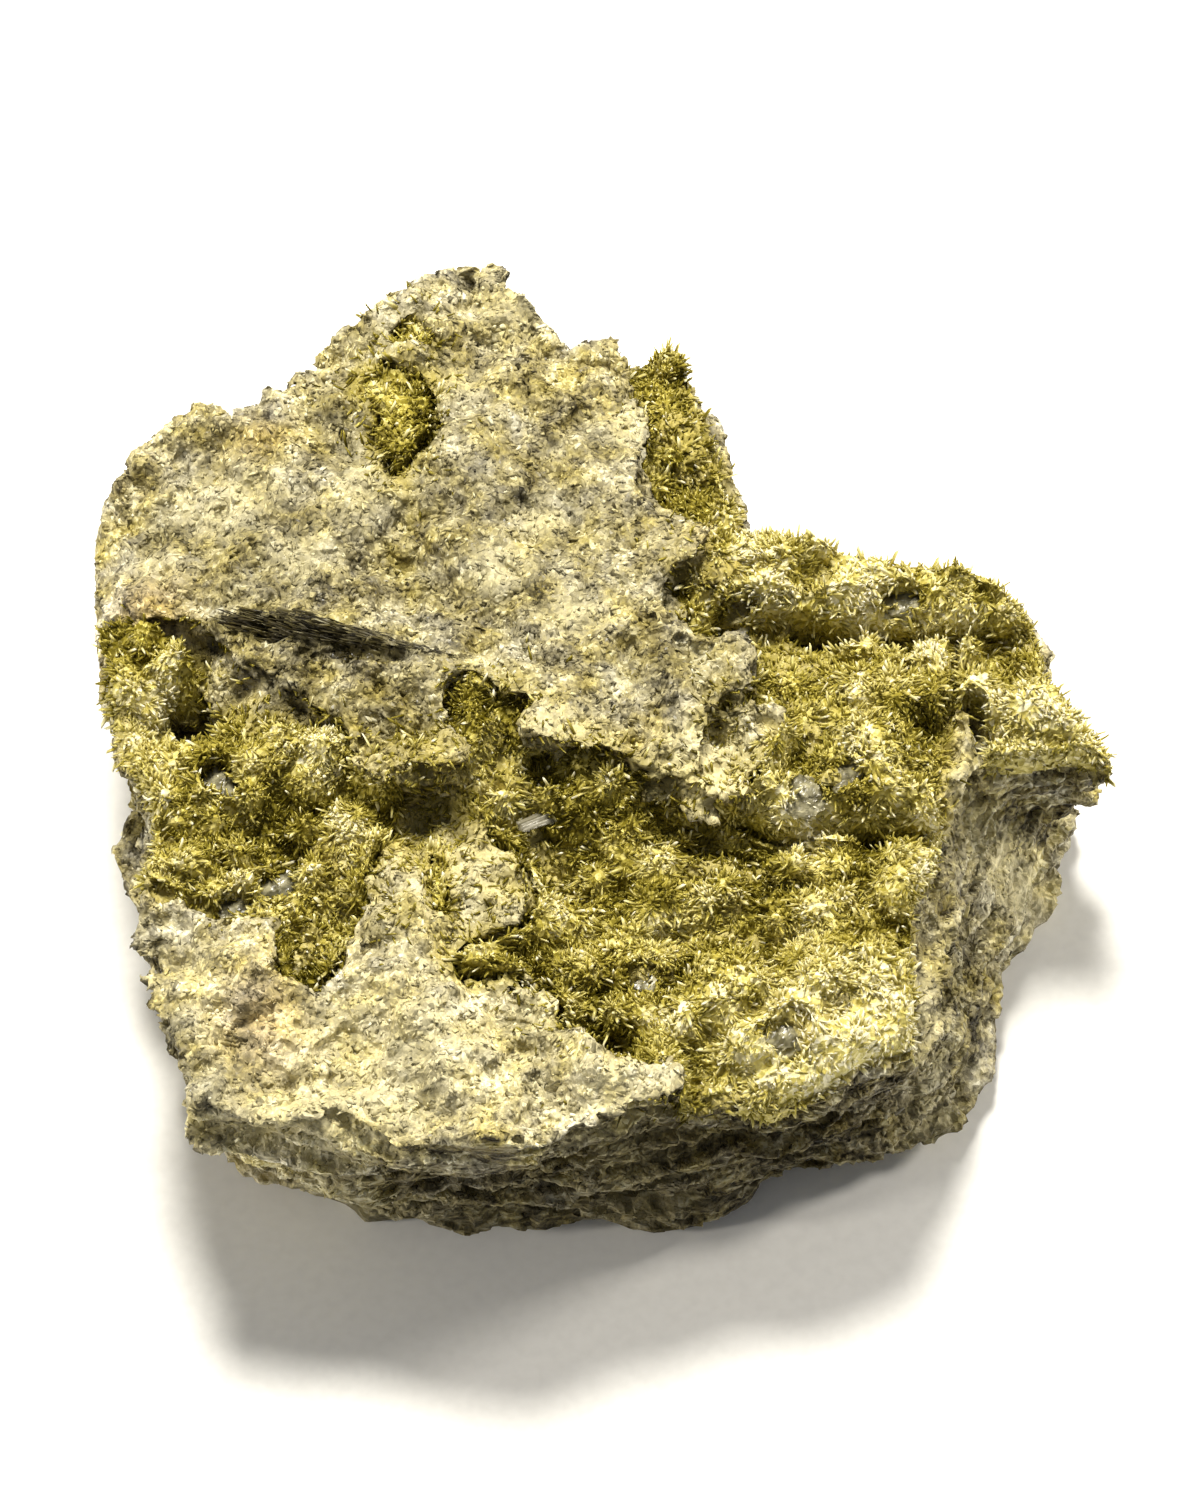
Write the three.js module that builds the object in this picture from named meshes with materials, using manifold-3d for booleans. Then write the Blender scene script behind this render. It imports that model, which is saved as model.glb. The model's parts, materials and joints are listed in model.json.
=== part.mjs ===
// A hand-sized clinozoisite specimen: a broken slab of fine-grained grey and cream
// host rock whose etched upper face is lined with a druse of small olive crystals.
//
// Millimetres, +Z up, resting on its flat base. +Y points to the back of the slab.
// The host rock is one solid. Each druse is one crust of intergrown crystals, parted
// from the next by rock or by a crevice, and each larger grain or crystal stands apart.

import * as THREE from "three";
import { mergeVertices } from "three/addons/utils/BufferGeometryUtils.js";
import Module from "manifold-3d";

const wasm = await Module();
wasm.setup();

// ---------------------------------------------------------------- driving sizes

const SEAT_GAP = 0.3; // clearance between a crust or crystal and what it sits on
const GRID_STEP = 3.7; // spacing of the grids that carry the upper surfaces
const BLOCK_WIDTH = 108; // plan of the block that the slab is cut from
const BLOCK_DEPTH = 105;
const BLOCK_FLOOR = -6; // the uncut blocks start below the base
const TRIM_TOP = 46; // the side faces are carried up past every summit

const RIM_LEVEL = 26; // height at which the side faces reach the rim's outline
const BASE_CHAMFER = 1.6; // how far the flat base is drawn in from the side faces
const SIDE_LEVELS = [0, 1.8, 6.5, 11, 15.5, 20, RIM_LEVEL, TRIM_TOP];
const SIDE_ROUGHNESS = 0.9; // how far a side face wanders from flat
const LEDGE_DEPTH = 0.9; // how far the broken layers stand in and out
const SIDE_STEP = 4; // longest stretch between two corners of an outline

const CRUST_THICKNESS = 2.6; // rock to crystal tips
const CRUST_WANDER = 0.7;

// ---------------------------------------------------------------- noise

// A repeatable number from 0 to 1 for a lattice corner.
function lattice(i, j, k) {
  let h = Math.imul(i, 374761393) + Math.imul(j, 668265263) + Math.imul(k, 2147483647);
  h = Math.imul(h ^ (h >>> 13), 1274126177);
  return ((h ^ (h >>> 16)) >>> 0) / 4294967295;
}

const smooth = (t) => t * t * (3 - 2 * t);
const mix = THREE.MathUtils.lerp;

// Smooth noise from -1 to 1 with lumps about one unit across.
function noise(x, y, z = 0) {
  const [i, j, k] = [Math.floor(x), Math.floor(y), Math.floor(z)];
  const [u, v, w] = [smooth(x - i), smooth(y - j), smooth(z - k)];
  const edge = (dj, dk) => mix(lattice(i, j + dj, k + dk), lattice(i + 1, j + dj, k + dk), u);
  const face = (dk) => mix(edge(0, dk), edge(1, dk), v);
  return 2 * mix(face(0), face(1), w) - 1;
}

// ---------------------------------------------------------------- outlines, seen from above

// Side faces, anticlockwise from the front left corner: [rim x, rim y, foot x, foot y].
const SIDES = [
  // front face, undercut
  [-39.2, -45.5, -36, -35.2], [-35.5, -47.2, -33.5, -38.4], [-30, -47.6, -28.5, -41.6],
  [-23, -48.6, -24, -45.2], [-16, -49.2, -15, -44.6], [-10.5, -49.8, -8, -44],
  [-3, -46.8, 0, -44.4], [3, -45, 5, -45.6], [9, -44, 9.5, -45.2], [11.5, -43, 14, -42.8],
  [16, -44.5, 16.5, -40], [21, -42.6, 22, -38], [26, -40.6, 28.4, -36], [30, -38, 34.8, -32.4],
  // right face, spreading to the foot
  [30.4, -33, 39.6, -28], [30, -28, 40, -22.4], [31, -22.5, 40.4, -17], [33, -17, 44.2, -12.8],
  [33.6, -12, 46, -8.4], [35, -7.5, 46.8, -5.8], [38.5, -6.4, 47.2, -4.2],
  [42.5, -5.8, 47.8, -2.8], [46, -5.6, 48, -1.4], [48.6, -6.2, 48, -0.2], [50.7, -7.2, 48, 1],
  // back right, behind the ledge and the upper bank
  [49.2, -4.6, 46.5, 2], [47, -2, 45, 4.2], [44, 1.6, 43, 6.4], [42.8, 5.4, 40, 9.4],
  [42, 8.6, 38, 11], [38, 10.9, 35, 12.4], [32, 13, 30, 13.4], [25.7, 14.1, 24, 14.2],
  [19, 16.6, 18.5, 16.6], [14.2, 20, 14, 20.6], [12.8, 25.5, 12.6, 26.5], [11.4, 29.4, 11.6, 31],
  [9.8, 34, 9.6, 35], [9.2, 37.6, 7.5, 38], [6.5, 40.4, 4, 39.4],
  // back face, up to the peak and down to the left shoulder
  [1, 37.6, 0, 37.4], [-3, 37.6, -3, 37.2], [-6, 40.2, -6.5, 40], [-9.8, 44.4, -10, 43],
  [-13.5, 47.4, -15, 45], [-17, 46.2, -19, 43], [-23, 43, -25, 39], [-27.5, 39, -29, 34],
  [-32.2, 36, -32, 31], [-36, 32, -35, 27], [-40, 31, -37.5, 24], [-44.6, 30.2, -40, 20],
  // left face, undercut
  [-48.4, 27.6, -42, 14], [-50.6, 22.8, -43.5, 8], [-51.8, 17, -44.5, 2], [-50.8, 12, -45, -2],
  [-49, 6.5, -45, -7], [-49, 1, -44.5, -12], [-47, -4, -44, -16], [-45.4, -11, -42.5, -20],
  [-44.4, -18, -41.5, -24], [-46.4, -21.5, -41, -26], [-46.6, -26, -40.5, -28.5],
  [-44.4, -31, -39.5, -30.5], [-42.4, -35.5, -38.5, -32], [-40, -40.5, -37.5, -33.4],
];

// The thick upper plateau, from its left end along the front lip to the back.
const UPPER_PLATEAU = [
  [-55, 8], [-49, 7.2], [-45, 6], [-42, 5.4], [-40, 3], [-38.5, -0.5], [-35, -2.8], [-31.5, -4.4],
  [-28, -6.4], [-25, -8.4], [-22.5, -10.4], [-20, -11.2], [-17, -11.6], [-14, -10.6], [-15, -7.4],
  [-16.4, -3.6], [-15.4, -1.2], [-11, -1.5], [-7, -3.8], [-8, -8.3], [-5.5, -9], [-1, -8.6],
  [1.5, -9.7], [5, -11.4], [8.5, -10.8], [10, -7], [10.5, -3.6], [13.5, -2.2], [14, -1],
  [14.8, 1.2], [13.5, 3.2], [9, 3.8], [6.2, 5.2], [5.6, 8.5], [6.4, 10.4], [8.6, 12.6],
  [10.7, 14.6], [10, 16], [7, 16.8], [5, 18.6], [3.6, 22.4], [3.2, 26], [2.8, 29.5], [2, 33],
  [0.6, 36], [0, 42], [0, 52], [-55, 52],
];

// The pale flake that juts from under the plateau's front lip.
const PALE_FLAKE = [
  [7, -11], [9, -12.4], [12, -13.4], [13.5, -13], [14.5, -10.7], [15.5, -8.5],
  [17.5, -5], [14.5, -4], [12, -4.2], [9, -5], [6, -8],
];

// The lower plateau, from the left rim along its inner edge and out past the front. Its
// saddle runs back to the upper plateau, between the left pocket and the front bank.
const LOWER_PLATEAU = [
  [-52, -20.5], [-52, -51], [7.5, -51], [7, -43], [6, -41], [4, -42], [-1, -39.5], [-4, -37],
  [-4, -34], [-6, -31.8], [-10, -31.2], [-14.5, -31], [-15, -29.4], [-13, -27.8], [-8, -26],
  [-7, -22], [-8.5, -18.4], [-11.5, -16], [-13.8, -13], [-14.4, -9.6], [-19.2, -9.4],
  [-19.6, -12.6], [-21.4, -16], [-22.8, -20.5], [-22, -24],
  [-23.5, -26.2], [-25.5, -29.5], [-28, -31.8], [-30, -31.8], [-32.2, -31], [-32.5, -27.7],
  [-33.5, -25.4], [-36.5, -24.9], [-40, -24.3], [-43.5, -22.8], [-45, -20.3],
];

// The gash along the plateau's left front, where a flake has split away.
const GASH = [
  [-35.4, 8], [-34.6, 5.6], [-31.5, 3.4], [-28.7, 1], [-25.5, 0.1], [-19.5, 0], [-19, 1.2],
  [-25.5, 3.5], [-30.5, 5.7],
];

// The broken ramp between the plateau's left front and the pocket below it.
const RAMP = [
  [-46, 8], [-46, 0], [-36, -8], [-28, -12], [-24.5, -11], [-24.8, -6.6], [-26.5, -4.4],
  [-30, -1.6], [-33.5, 1], [-36.5, 3.4], [-39.6, 7.1],
];

// The thin wall of rock that parts the right mound from the ledge below it.
const LEDGE_WALL = [
  [33, -12.6], [35, -12.4], [35.6, -8], [35.4, -4], [35, -1.6], [33.6, -1.4], [33.6, -7],
];

// Open holes in the druse, down into the rock: the left cave, the crevices' deep ends and
// the hollow against the ledge's wall.
const HOLES = [
  [[-44.2, -2.4], [-42, -4.2], [-38.6, -3.6], [-37.6, -1.4], [-39, 0.6], [-43, 0.4]],
  [[6.2, -15], [8.6, -16.2], [10.6, -15.4], [9.6, -13.8], [7.2, -13.4]],
  [[18.6, 6.6], [22, 6], [25.8, 6.4], [25.4, 7.8], [21.8, 8], [19, 8]],
  [[35.6, -8], [37.6, -7.6], [38.4, -4], [37.6, -0.4], [35.8, 0.6], [35.2, -1.6], [35.4, -4]],
];

// Small vugs in the plateaus: the tall one and the one behind it, and the saddle's slot.
const BACK_VUG = [
  [-17.4, 36.7], [-16.2, 37.9], [-16.8, 39.1], [-18.8, 40.9], [-20.5, 40.6], [-21.8, 38.7],
  [-21, 36.9], [-19.2, 36.4],
];
const TALL_VUG = [
  [-19.6, 23.7], [-18.2, 25.9], [-16.8, 27.5], [-17.3, 29.4], [-16.9, 31.4], [-17.6, 33.9],
  [-19.5, 35.2], [-22.4, 35.8], [-24.4, 35], [-24.8, 32.7], [-23.8, 31.4], [-22.4, 29.4],
  [-23, 27.4], [-22.1, 25.3], [-21.2, 22.9],
];
const SADDLE_SLOT = [
  [-16.2, -25.4], [-15.1, -25.1], [-15, -21.7], [-15.3, -18.9], [-17, -17.6], [-17.6, -20.6],
  [-17.5, -24],
];

// ---------------------------------------------------------------- surfaces

// Hills and hollows of the druse floor: [x, y, radius along x, radius along y, height].
const FLOOR_LEVEL = 25.5;
const FLOOR_HILLS = [
  // upper bank, and the crevice in front of it
  [13, 15, 7, 6, 4.4], [22, 14.5, 8, 6, 4], [32, 13.5, 8, 5.5, 4], [40, 11, 6, 5, 3],
  [17, 7.8, 6, 1.8, -2.6], [26, 7.6, 6, 1.8, -3], [35, 7.4, 6, 2, -2.4],
  // right mound, its pale crest, and the crevice in front of it
  [22, -4.5, 9, 7, 5.6], [30, -3.5, 5, 7.5, 3.2], [20, -12.2, 7, 2.6, 4.2],
  [8.5, -14.4, 3, 2.2, -4.4], [17, -15.8, 5, 2, -4], [26, -15.6, 4.5, 2, -3.8],
  // front bank
  [7, -20.5, 7, 3.5, 2.2], [16, -20.5, 6, 3.2, 2.4], [27, -21, 5, 5, 2], [1, -15.5, 4, 2.5, 1.4],
  [6, -26.5, 4, 2.6, -1.8], [20, -27, 4.5, 2.2, -1.6], [20, -36, 8, 5.5, 3.8],
  [2, -33, 5, 4, 2.4], [9.5, -39.5, 1.8, 3.4, -2.4], [27, -32, 4, 6, 1.8], [10, -32, 4, 4, 1.2],
  // under the plateau's lip, up the cove in it, and up to the notch on the lip's right
  [-3, -11.6, 6, 3, 6], [-11.8, -2.6, 4, 4.2, 8.6], [-11.5, -8.6, 3.4, 3.4, 5.2], [8.5, 8.5, 3, 4.4, 3],
  [-11, -29.6, 4, 2.6, 2.6], [-34, -4.6, 4, 2.6, 3], [-27.5, -8.6, 4.5, 3, 4],
  [-20.5, -12.6, 3.8, 3.6, 5.6],
  // right ledge
  [44, -1, 5, 6, 1.4],
  // strip behind the upper plateau's right edge
  [7, 33, 4, 9, 3.6], [12, 27, 2, 6, 1.6],
  // left pocket, its cave and its left bulge
  [-46, 4.5, 5, 4, 3], [-39.5, 0.5, 3.6, 3, -6], [-36, -9, 6, 4, 1.4],
  [-38, -18, 5, 4, 1.2], [-46.6, -9, 1.8, 7, 3], [-29, -14, 5, 5, 1], [-30, -27, 3.5, 4, -1.6],
];

const hill = ([cx, cy, rx, ry, height], x, y) =>
  height * Math.exp(-(((x - cx) / rx) ** 2) - ((y - cy) / ry) ** 2);

function druseFloor(x, y) {
  const hills = FLOOR_HILLS.reduce((sum, h) => sum + hill(h, x, y), 0);
  const lumps = 0.7 * noise(x / 5, y / 5, 4) + 0.35 * noise(x / 2.6, y / 2.6, 9);
  return FLOOR_LEVEL + hills + lumps;
}

// Highest near the middle, rounding down to the left shoulder and the back.
function upperTop(x, y) {
  const fall = 0.0026 * (x - 2) ** 2 + 0.0016 * (y - 4) ** 2;
  const shoulder = 2.4 * Math.max(0, (-x - 38) / 12) ** 2;
  return 36.4 - fall - shoulder + 0.8 * noise(x / 11, y / 11, 1) + 0.35 * noise(x / 4.5, y / 4.5, 2);
}

// Level along the front, lower to the left corner and down the saddle behind it.
function lowerTop(x, y) {
  const corner = 0.0035 * Math.max(0, -x - 18) ** 2;
  const saddle = 0.009 * Math.max(0, y + 29) ** 2 * smooth(THREE.MathUtils.clamp((x + 26) / 6, 0, 1));
  const lumps = 0.5 * noise(x / 9, y / 9, 3) + 0.3 * noise(x / 4, y / 4, 5);
  return 30.6 - corner - saddle + lumps;
}

// ---------------------------------------------------------------- solids

function solidOf(geometry) {
  const bare = geometry.index ? geometry.toNonIndexed() : geometry.clone();
  bare.deleteAttribute("normal");
  bare.deleteAttribute("uv");
  const merged = mergeVertices(bare, 1e-4);
  return new wasm.Manifold(
    new wasm.Mesh({
      numProp: 3,
      vertProperties: merged.attributes.position.array,
      triVerts: new Uint32Array(merged.index.array),
    }),
  );
}

function geometryOf(solid) {
  const { vertProperties, triVerts } = solid.getMesh();
  return new THREE.BufferGeometry()
    .setAttribute("position", new THREE.BufferAttribute(vertProperties, 3))
    .setIndex(new THREE.BufferAttribute(triVerts, 1));
}

// A block whose upper face follows top(x, y) on the shared grid.
function terrain(top) {
  const columns = Math.round(BLOCK_WIDTH / GRID_STEP);
  const rows = Math.round(BLOCK_DEPTH / GRID_STEP);
  const block = new THREE.BoxGeometry(BLOCK_WIDTH, BLOCK_DEPTH, 1, columns, rows, 1);
  const place = block.attributes.position;
  for (let i = 0; i < place.count; i++) {
    const [x, y] = [place.getX(i), place.getY(i)];
    place.setZ(i, place.getZ(i) > 0 ? top(x, y) : BLOCK_FLOOR);
  }
  return solidOf(block);
}

// An outline's points moved outwards by a distance. The outline runs anticlockwise.
function grown(outline, by) {
  const points = outline.map(([x, y]) => new THREE.Vector2(x, y));
  return points.map((p, i) => {
    const before = points.at(i - 1);
    const after = points[(i + 1) % points.length];
    const along = after.clone().sub(before).normalize();
    return [p.x + along.y * by, p.y - along.x * by];
  });
}

function prism(outline, low, high) {
  const shape = new THREE.Shape(outline.map(([x, y]) => new THREE.Vector2(x, y)));
  const extrusion = new THREE.ExtrudeGeometry(shape, { depth: high - low, bevelEnabled: false });
  return solidOf(extrusion.translate(0, 0, low));
}

// Rings of equal length, lowest first, joined into one closed skin.
function loft(rings) {
  const count = rings[0].length;
  const flat = (ring) => ring.map(([x, y]) => new THREE.Vector2(x, y));
  const index = [];
  for (let level = 0; level + 1 < rings.length; level++) {
    for (let i = 0; i < count; i++) {
      const [a, b] = [level * count + i, level * count + ((i + 1) % count)];
      index.push(a, b, b + count, a, b + count, a + count);
    }
  }
  const last = (rings.length - 1) * count;
  THREE.ShapeUtils.triangulateShape(flat(rings[0]), []).forEach(([a, b, c]) => index.push(c, b, a));
  THREE.ShapeUtils.triangulateShape(flat(rings.at(-1)), []).forEach(([a, b, c]) =>
    index.push(last + a, last + b, last + c),
  );
  const geometry = new THREE.BufferGeometry();
  geometry.setAttribute("position", new THREE.Float32BufferAttribute(rings.flat(2), 3));
  return solidOf(geometry.setIndex(index));
}

// The side faces: straight from foot to rim, roughened by long broken ribs.
function sideFaces() {
  const stations = SIDES.flatMap((from, i) => {
    const to = SIDES[(i + 1) % SIDES.length];
    const steps = Math.max(1, Math.round(Math.hypot(to[0] - from[0], to[1] - from[1]) / SIDE_STEP));
    return Array.from({ length: steps }, (_, k) => from.map((value, n) => mix(value, to[n], k / steps)));
  });
  return loft(
    SIDE_LEVELS.map((z) => {
      const rise = Math.min(1, z / RIM_LEVEL);
      const ring = stations.map(([rimX, rimY, footX, footY]) => [
        mix(footX, rimX, rise),
        mix(footY, rimY, rise),
      ]);
      const drawnIn = z === 0 ? -BASE_CHAMFER : 0;
      const rough = z > 0 && z < TRIM_TOP ? SIDE_ROUGHNESS : 0.35 * SIDE_ROUGHNESS;
      return ring.map(([x, y], i) => {
        const [nextX, nextY] = ring[(i + 1) % ring.length];
        const [lastX, lastY] = ring.at(i - 1);
        const [dx, dy] = [nextX - lastX, nextY - lastY];
        const length = Math.hypot(dx, dy);
        const ribs = noise(x / 6, y / 6, z / 9) + 0.6 * noise(x / 3, y / 3, z / 4);
        const ledges = z > 0 && z < TRIM_TOP ? LEDGE_DEPTH * noise(x / 15, y / 15, z / 3.3) : 0;
        const out = drawnIn + rough * ribs + ledges;
        return [x + (dy / length) * out, y - (dx / length) * out, z];
      });
    }),
  );
}

// ---------------------------------------------------------------- loose crystals in the druse

// A stubby six-sided crystal with a pointed end, its middle at the origin.
function hexagonalCrystal(radius, length, grow = 0) {
  const [r, half] = [radius + grow, length / 2 + grow];
  const shoulder = half - 0.8 * r;
  const profile = [[0, -half], [r, -half], [r, shoulder], [0.25 * r, half], [0, half]];
  const points = profile.map(([x, y]) => new THREE.Vector2(x, y));
  return new THREE.LatheGeometry(points, 6).rotateX(Math.PI / 2);
}

// A flat four-sided blade, its middle at the origin.
function bladeCrystal(radius, length, grow = 0) {
  const blade = new THREE.CylinderGeometry(radius * 0.75 + grow, radius + grow, length + 2 * grow, 4);
  return blade.rotateX(Math.PI / 2).scale(1, 0.6, 1);
}

// name, shape, [x, y], height of its middle above the floor, radius, length, lean and turn in degrees.
const GRAINS = [
  ["quartz_left_upper", hexagonalCrystal, [-37.6, -9.3], 1.4, 2.0, 4.6, 55, 20],
  ["quartz_left_lower", hexagonalCrystal, [-32.4, -20.2], 1.6, 1.9, 4.4, 70, -40],
  ["quartz_left_front", hexagonalCrystal, [-36, -22.4], 1.2, 1.5, 3.6, 65, 100],
  ["quartz_upper_bank_left", hexagonalCrystal, [13.4, 9.2], 2.2, 1.7, 4.4, 60, 160],
  ["quartz_upper_bank_right", hexagonalCrystal, [30, 10.2], 2.0, 1.9, 4.0, 35, 75],
  ["quartz_mound_crest", hexagonalCrystal, [19.4, -12], 1.9, 2.1, 4.6, 50, 200],
  ["quartz_mound_front", hexagonalCrystal, [23.6, -10.6], 1.8, 1.6, 3.8, 60, -30],
  ["quartz_front_bank", hexagonalCrystal, [4, -31], 1.8, 1.7, 4.2, 45, 30],
  ["quartz_front_crest", hexagonalCrystal, [18, -37.5], 1.3, 2.2, 4.6, 55, 130],
  ["clinozoisite_blade_centre", bladeCrystal, [-6, -14.2], 2.2, 1.0, 6.0, 68, -55],
  ["clinozoisite_blade_front", bladeCrystal, [18.8, -26.2], 1.9, 0.9, 5.0, 62, -25],
];

// Each grain as a solid, and grown by the seat gap as the cutter for its socket.
const grains = GRAINS.map(([name, shape, [x, y], height, radius, length, lean, turn]) => {
  const placed = (geometry) =>
    solidOf(
      geometry
        .rotateX(THREE.MathUtils.degToRad(lean))
        .rotateZ(THREE.MathUtils.degToRad(turn))
        .translate(x, y, druseFloor(x, y) + height),
    );
  return {
    name,
    solid: placed(shape(radius, length)),
    socket: placed(shape(radius, length, SEAT_GAP)),
    quartz: shape === hexagonalCrystal,
  };
});

// ---------------------------------------------------------------- hollows in the plateaus

// Small vugs: [name, outline, depth, surface]. A crust lines each one up to its brim.
const VUGS = [
  ["druse_back_vug", BACK_VUG, 4.2, upperTop],
  ["druse_tall_vug", TALL_VUG, 3.6, upperTop],
  ["druse_saddle_slot", SADDLE_SLOT, 3, lowerTop],
];
const VUG_BRIM = 0.4; // how far the lining's tips lie below the plateau

const vugs = VUGS.map(([name, outline, depth, surface]) => {
  const below = (fall) => terrain((x, y) => surface(x, y) - fall);
  return {
    name,
    hollow: prism(outline, BLOCK_FLOOR, TRIM_TOP).subtract(below(depth)),
    crust: prism(grown(outline, -SEAT_GAP), BLOCK_FLOOR, TRIM_TOP)
      .intersect(below(VUG_BRIM))
      .subtract(below(depth - SEAT_GAP)),
  };
});

// ---------------------------------------------------------------- host rock

const FLAKE_LOW = 30.6; // underside of the flake that juts from the lip
const FLAKE_DROP = 1.6; // flake's top, below the plateau's
const GASH_DEPTH = 2.6;
const RAMP_DROP = 1.2; // step down from the plateau to the top of the ramp
const RAMP_SLOPE = 0.62;
const LEDGE_WALL_TOP = 30.6;
const HOLE_DEPTH = 3.4; // below the druse floor

// What is broken out of the upper plateau over an outline, down to a surface below its top.
const brokenOut = (outline, depthAt) =>
  prism(outline, BLOCK_FLOOR, TRIM_TOP).subtract(terrain((x, y) => upperTop(x, y) - depthAt(x, y)));

// The ramp's top edge runs from the gash's left end to the front; it falls away from there.
const rampDepth = (x, y) => RAMP_DROP + RAMP_SLOPE * Math.max(0, -28 - 0.88 * x - y);

const sides = sideFaces();
const upperPlateau = prism(UPPER_PLATEAU, BLOCK_FLOOR, TRIM_TOP)
  .intersect(terrain(upperTop))
  .subtract(brokenOut(RAMP, rampDepth));
const lowerPlateau = prism(LOWER_PLATEAU, BLOCK_FLOOR, TRIM_TOP).intersect(terrain(lowerTop));
const paleFlake = prism(PALE_FLAKE, FLAKE_LOW, TRIM_TOP).intersect(
  terrain((x, y) => upperTop(x, y) - FLAKE_DROP),
);

const ledgeWall = prism(LEDGE_WALL, BLOCK_FLOOR, TRIM_TOP).intersect(
  terrain((x, y) => LEDGE_WALL_TOP + 0.6 * noise(x / 3, y / 3, 7)),
);

const cutters = [
  brokenOut(GASH, () => GASH_DEPTH),
  ...HOLES.map((outline) =>
    prism(outline, BLOCK_FLOOR, TRIM_TOP)
      .subtract(terrain((x, y) => druseFloor(x, y) - HOLE_DEPTH))
      .intersect(terrain((x, y) => druseFloor(x, y) + CRUST_THICKNESS)),
  ),
  ...vugs.map((vug) => vug.hollow),
  ...grains.map((grain) => grain.socket),
];
const hostRock = cutters.reduce(
  (rock, cutter) => rock.subtract(cutter),
  [upperPlateau, lowerPlateau, paleFlake, ledgeWall]
    .reduce((block, part) => block.add(part), terrain(druseFloor))
    .intersect(sides),
);

// ---------------------------------------------------------------- druse crusts

// Where each crust lies. The plateaus and the specimen's own edge trim it.
const DRUSES = {
  druse_left_pocket: [
    [-53, 10], [-38, 9], [-28, 1], [-19, -8], [-17.4, -11], [-17.4, -16], [-23, -23],
    [-24, -33], [-34, -33], [-34, -24], [-53, -18],
  ],
  druse_front_bank: [
    [-16.8, -11], [-16.8, 1], [-4, 0], [6, -8], [8, -12.6], [16.5, -15.2], [26.5, -15.4],
    [36, -14], [36, -46], [8, -47], [2, -44], [-6, -36], [-16.8, -33],
  ],
  druse_right_mound: [
    [8.4, -12], [16.5, -14.6], [26.5, -14.8], [34.6, -13.4], [34.6, -5], [34.6, 7], [26, 7.6],
    [16, 7.8], [11, 6], [12, -4],
  ],
  druse_upper_bank: [
    [5, 4], [11, 6.6], [16, 8.4], [26, 8.2], [34.6, 7.6], [45, 7.4], [45, 16], [22, 19],
    [14, 17], [10.4, 15.6], [5, 12],
  ],
  druse_top_corner: [
    [-1, 44], [0, 32], [3, 18], [7, 16], [10.2, 16.2], [13.6, 17.6], [12.2, 23], [10.4, 28],
    [8.6, 33], [8, 44],
  ],
  druse_right_ledge: [[35.2, -6.2], [52, -8], [52, 3], [43, 7], [35.2, 7]],
};

const crustTop = (x, y) => druseFloor(x, y) + CRUST_THICKNESS + CRUST_WANDER * noise(x / 4, y / 4, 6);
const crustLayer = terrain(crustTop)
  .subtract(terrain((x, y) => druseFloor(x, y) + SEAT_GAP))
  .intersect(sides);
const raised = [
  prism(grown(UPPER_PLATEAU, SEAT_GAP), BLOCK_FLOOR, TRIM_TOP),
  prism(grown(LOWER_PLATEAU, SEAT_GAP), BLOCK_FLOOR, TRIM_TOP),
  prism(grown(PALE_FLAKE, SEAT_GAP), FLAKE_LOW - SEAT_GAP, TRIM_TOP),
  prism(grown(LEDGE_WALL, SEAT_GAP), BLOCK_FLOOR, TRIM_TOP),
  ...HOLES.map((outline) => prism(outline, BLOCK_FLOOR, TRIM_TOP)),
];
const openLayer = [...raised, ...grains.map((grain) => grain.socket)].reduce(
  (layer, cutter) => layer.subtract(cutter),
  crustLayer,
);

const largest = (solid) => solid.decompose().sort((a, b) => b.volume() - a.volume())[0];

// ---------------------------------------------------------------- the specimen

const ROCK = new THREE.MeshStandardMaterial({ color: 0xa69f86, roughness: 0.9, metalness: 0 });
const DRUSE = new THREE.MeshStandardMaterial({ color: 0x8c842f, roughness: 0.35, metalness: 0 });
const QUARTZ = new THREE.MeshStandardMaterial({ color: 0xc9c6b4, roughness: 0.15, metalness: 0 });

const specimen = new THREE.Group();

function addPiece(name, solid, material) {
  const mesh = new THREE.Mesh(geometryOf(solid), material);
  mesh.name = name;
  specimen.add(mesh);
}

addPiece("host_rock", largest(hostRock), ROCK);
for (const [name, outline] of Object.entries(DRUSES)) {
  addPiece(name, largest(openLayer.intersect(prism(outline, BLOCK_FLOOR, TRIM_TOP))), DRUSE);
}
for (const { name, crust } of vugs) addPiece(name, largest(crust.intersect(sides)), DRUSE);
for (const { name, solid, quartz } of grains) addPiece(name, solid, quartz ? QUARTZ : DRUSE);

// The origin is the middle of the specimen's footprint, on the surface that it rests on.
const bounds = new THREE.Box3().setFromObject(specimen);
const middle = bounds.getCenter(new THREE.Vector3());
specimen.position.set(-middle.x, -middle.y, -bounds.min.z);

export default specimen;
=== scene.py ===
# %% [markdown]
# # A clinozoisite specimen
# The real object is a broken slab of fine-grained calc-silicate rock, about as wide as a
# hand, lined with a druse: a carpet of olive clinozoisite needles, each a few tenths of a
# millimetre thick. Three things make its look, and each gets its own section: the rock's
# broken and granular surface, the crust that the needles grow from, and the needles.

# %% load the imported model, which is the fixed frame
import json
import math

import bpy
import numpy as np
from mathutils import Matrix, Vector, noise
from mathutils.bvhtree import BVHTree
from mathutils.kdtree import KDTree

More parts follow.
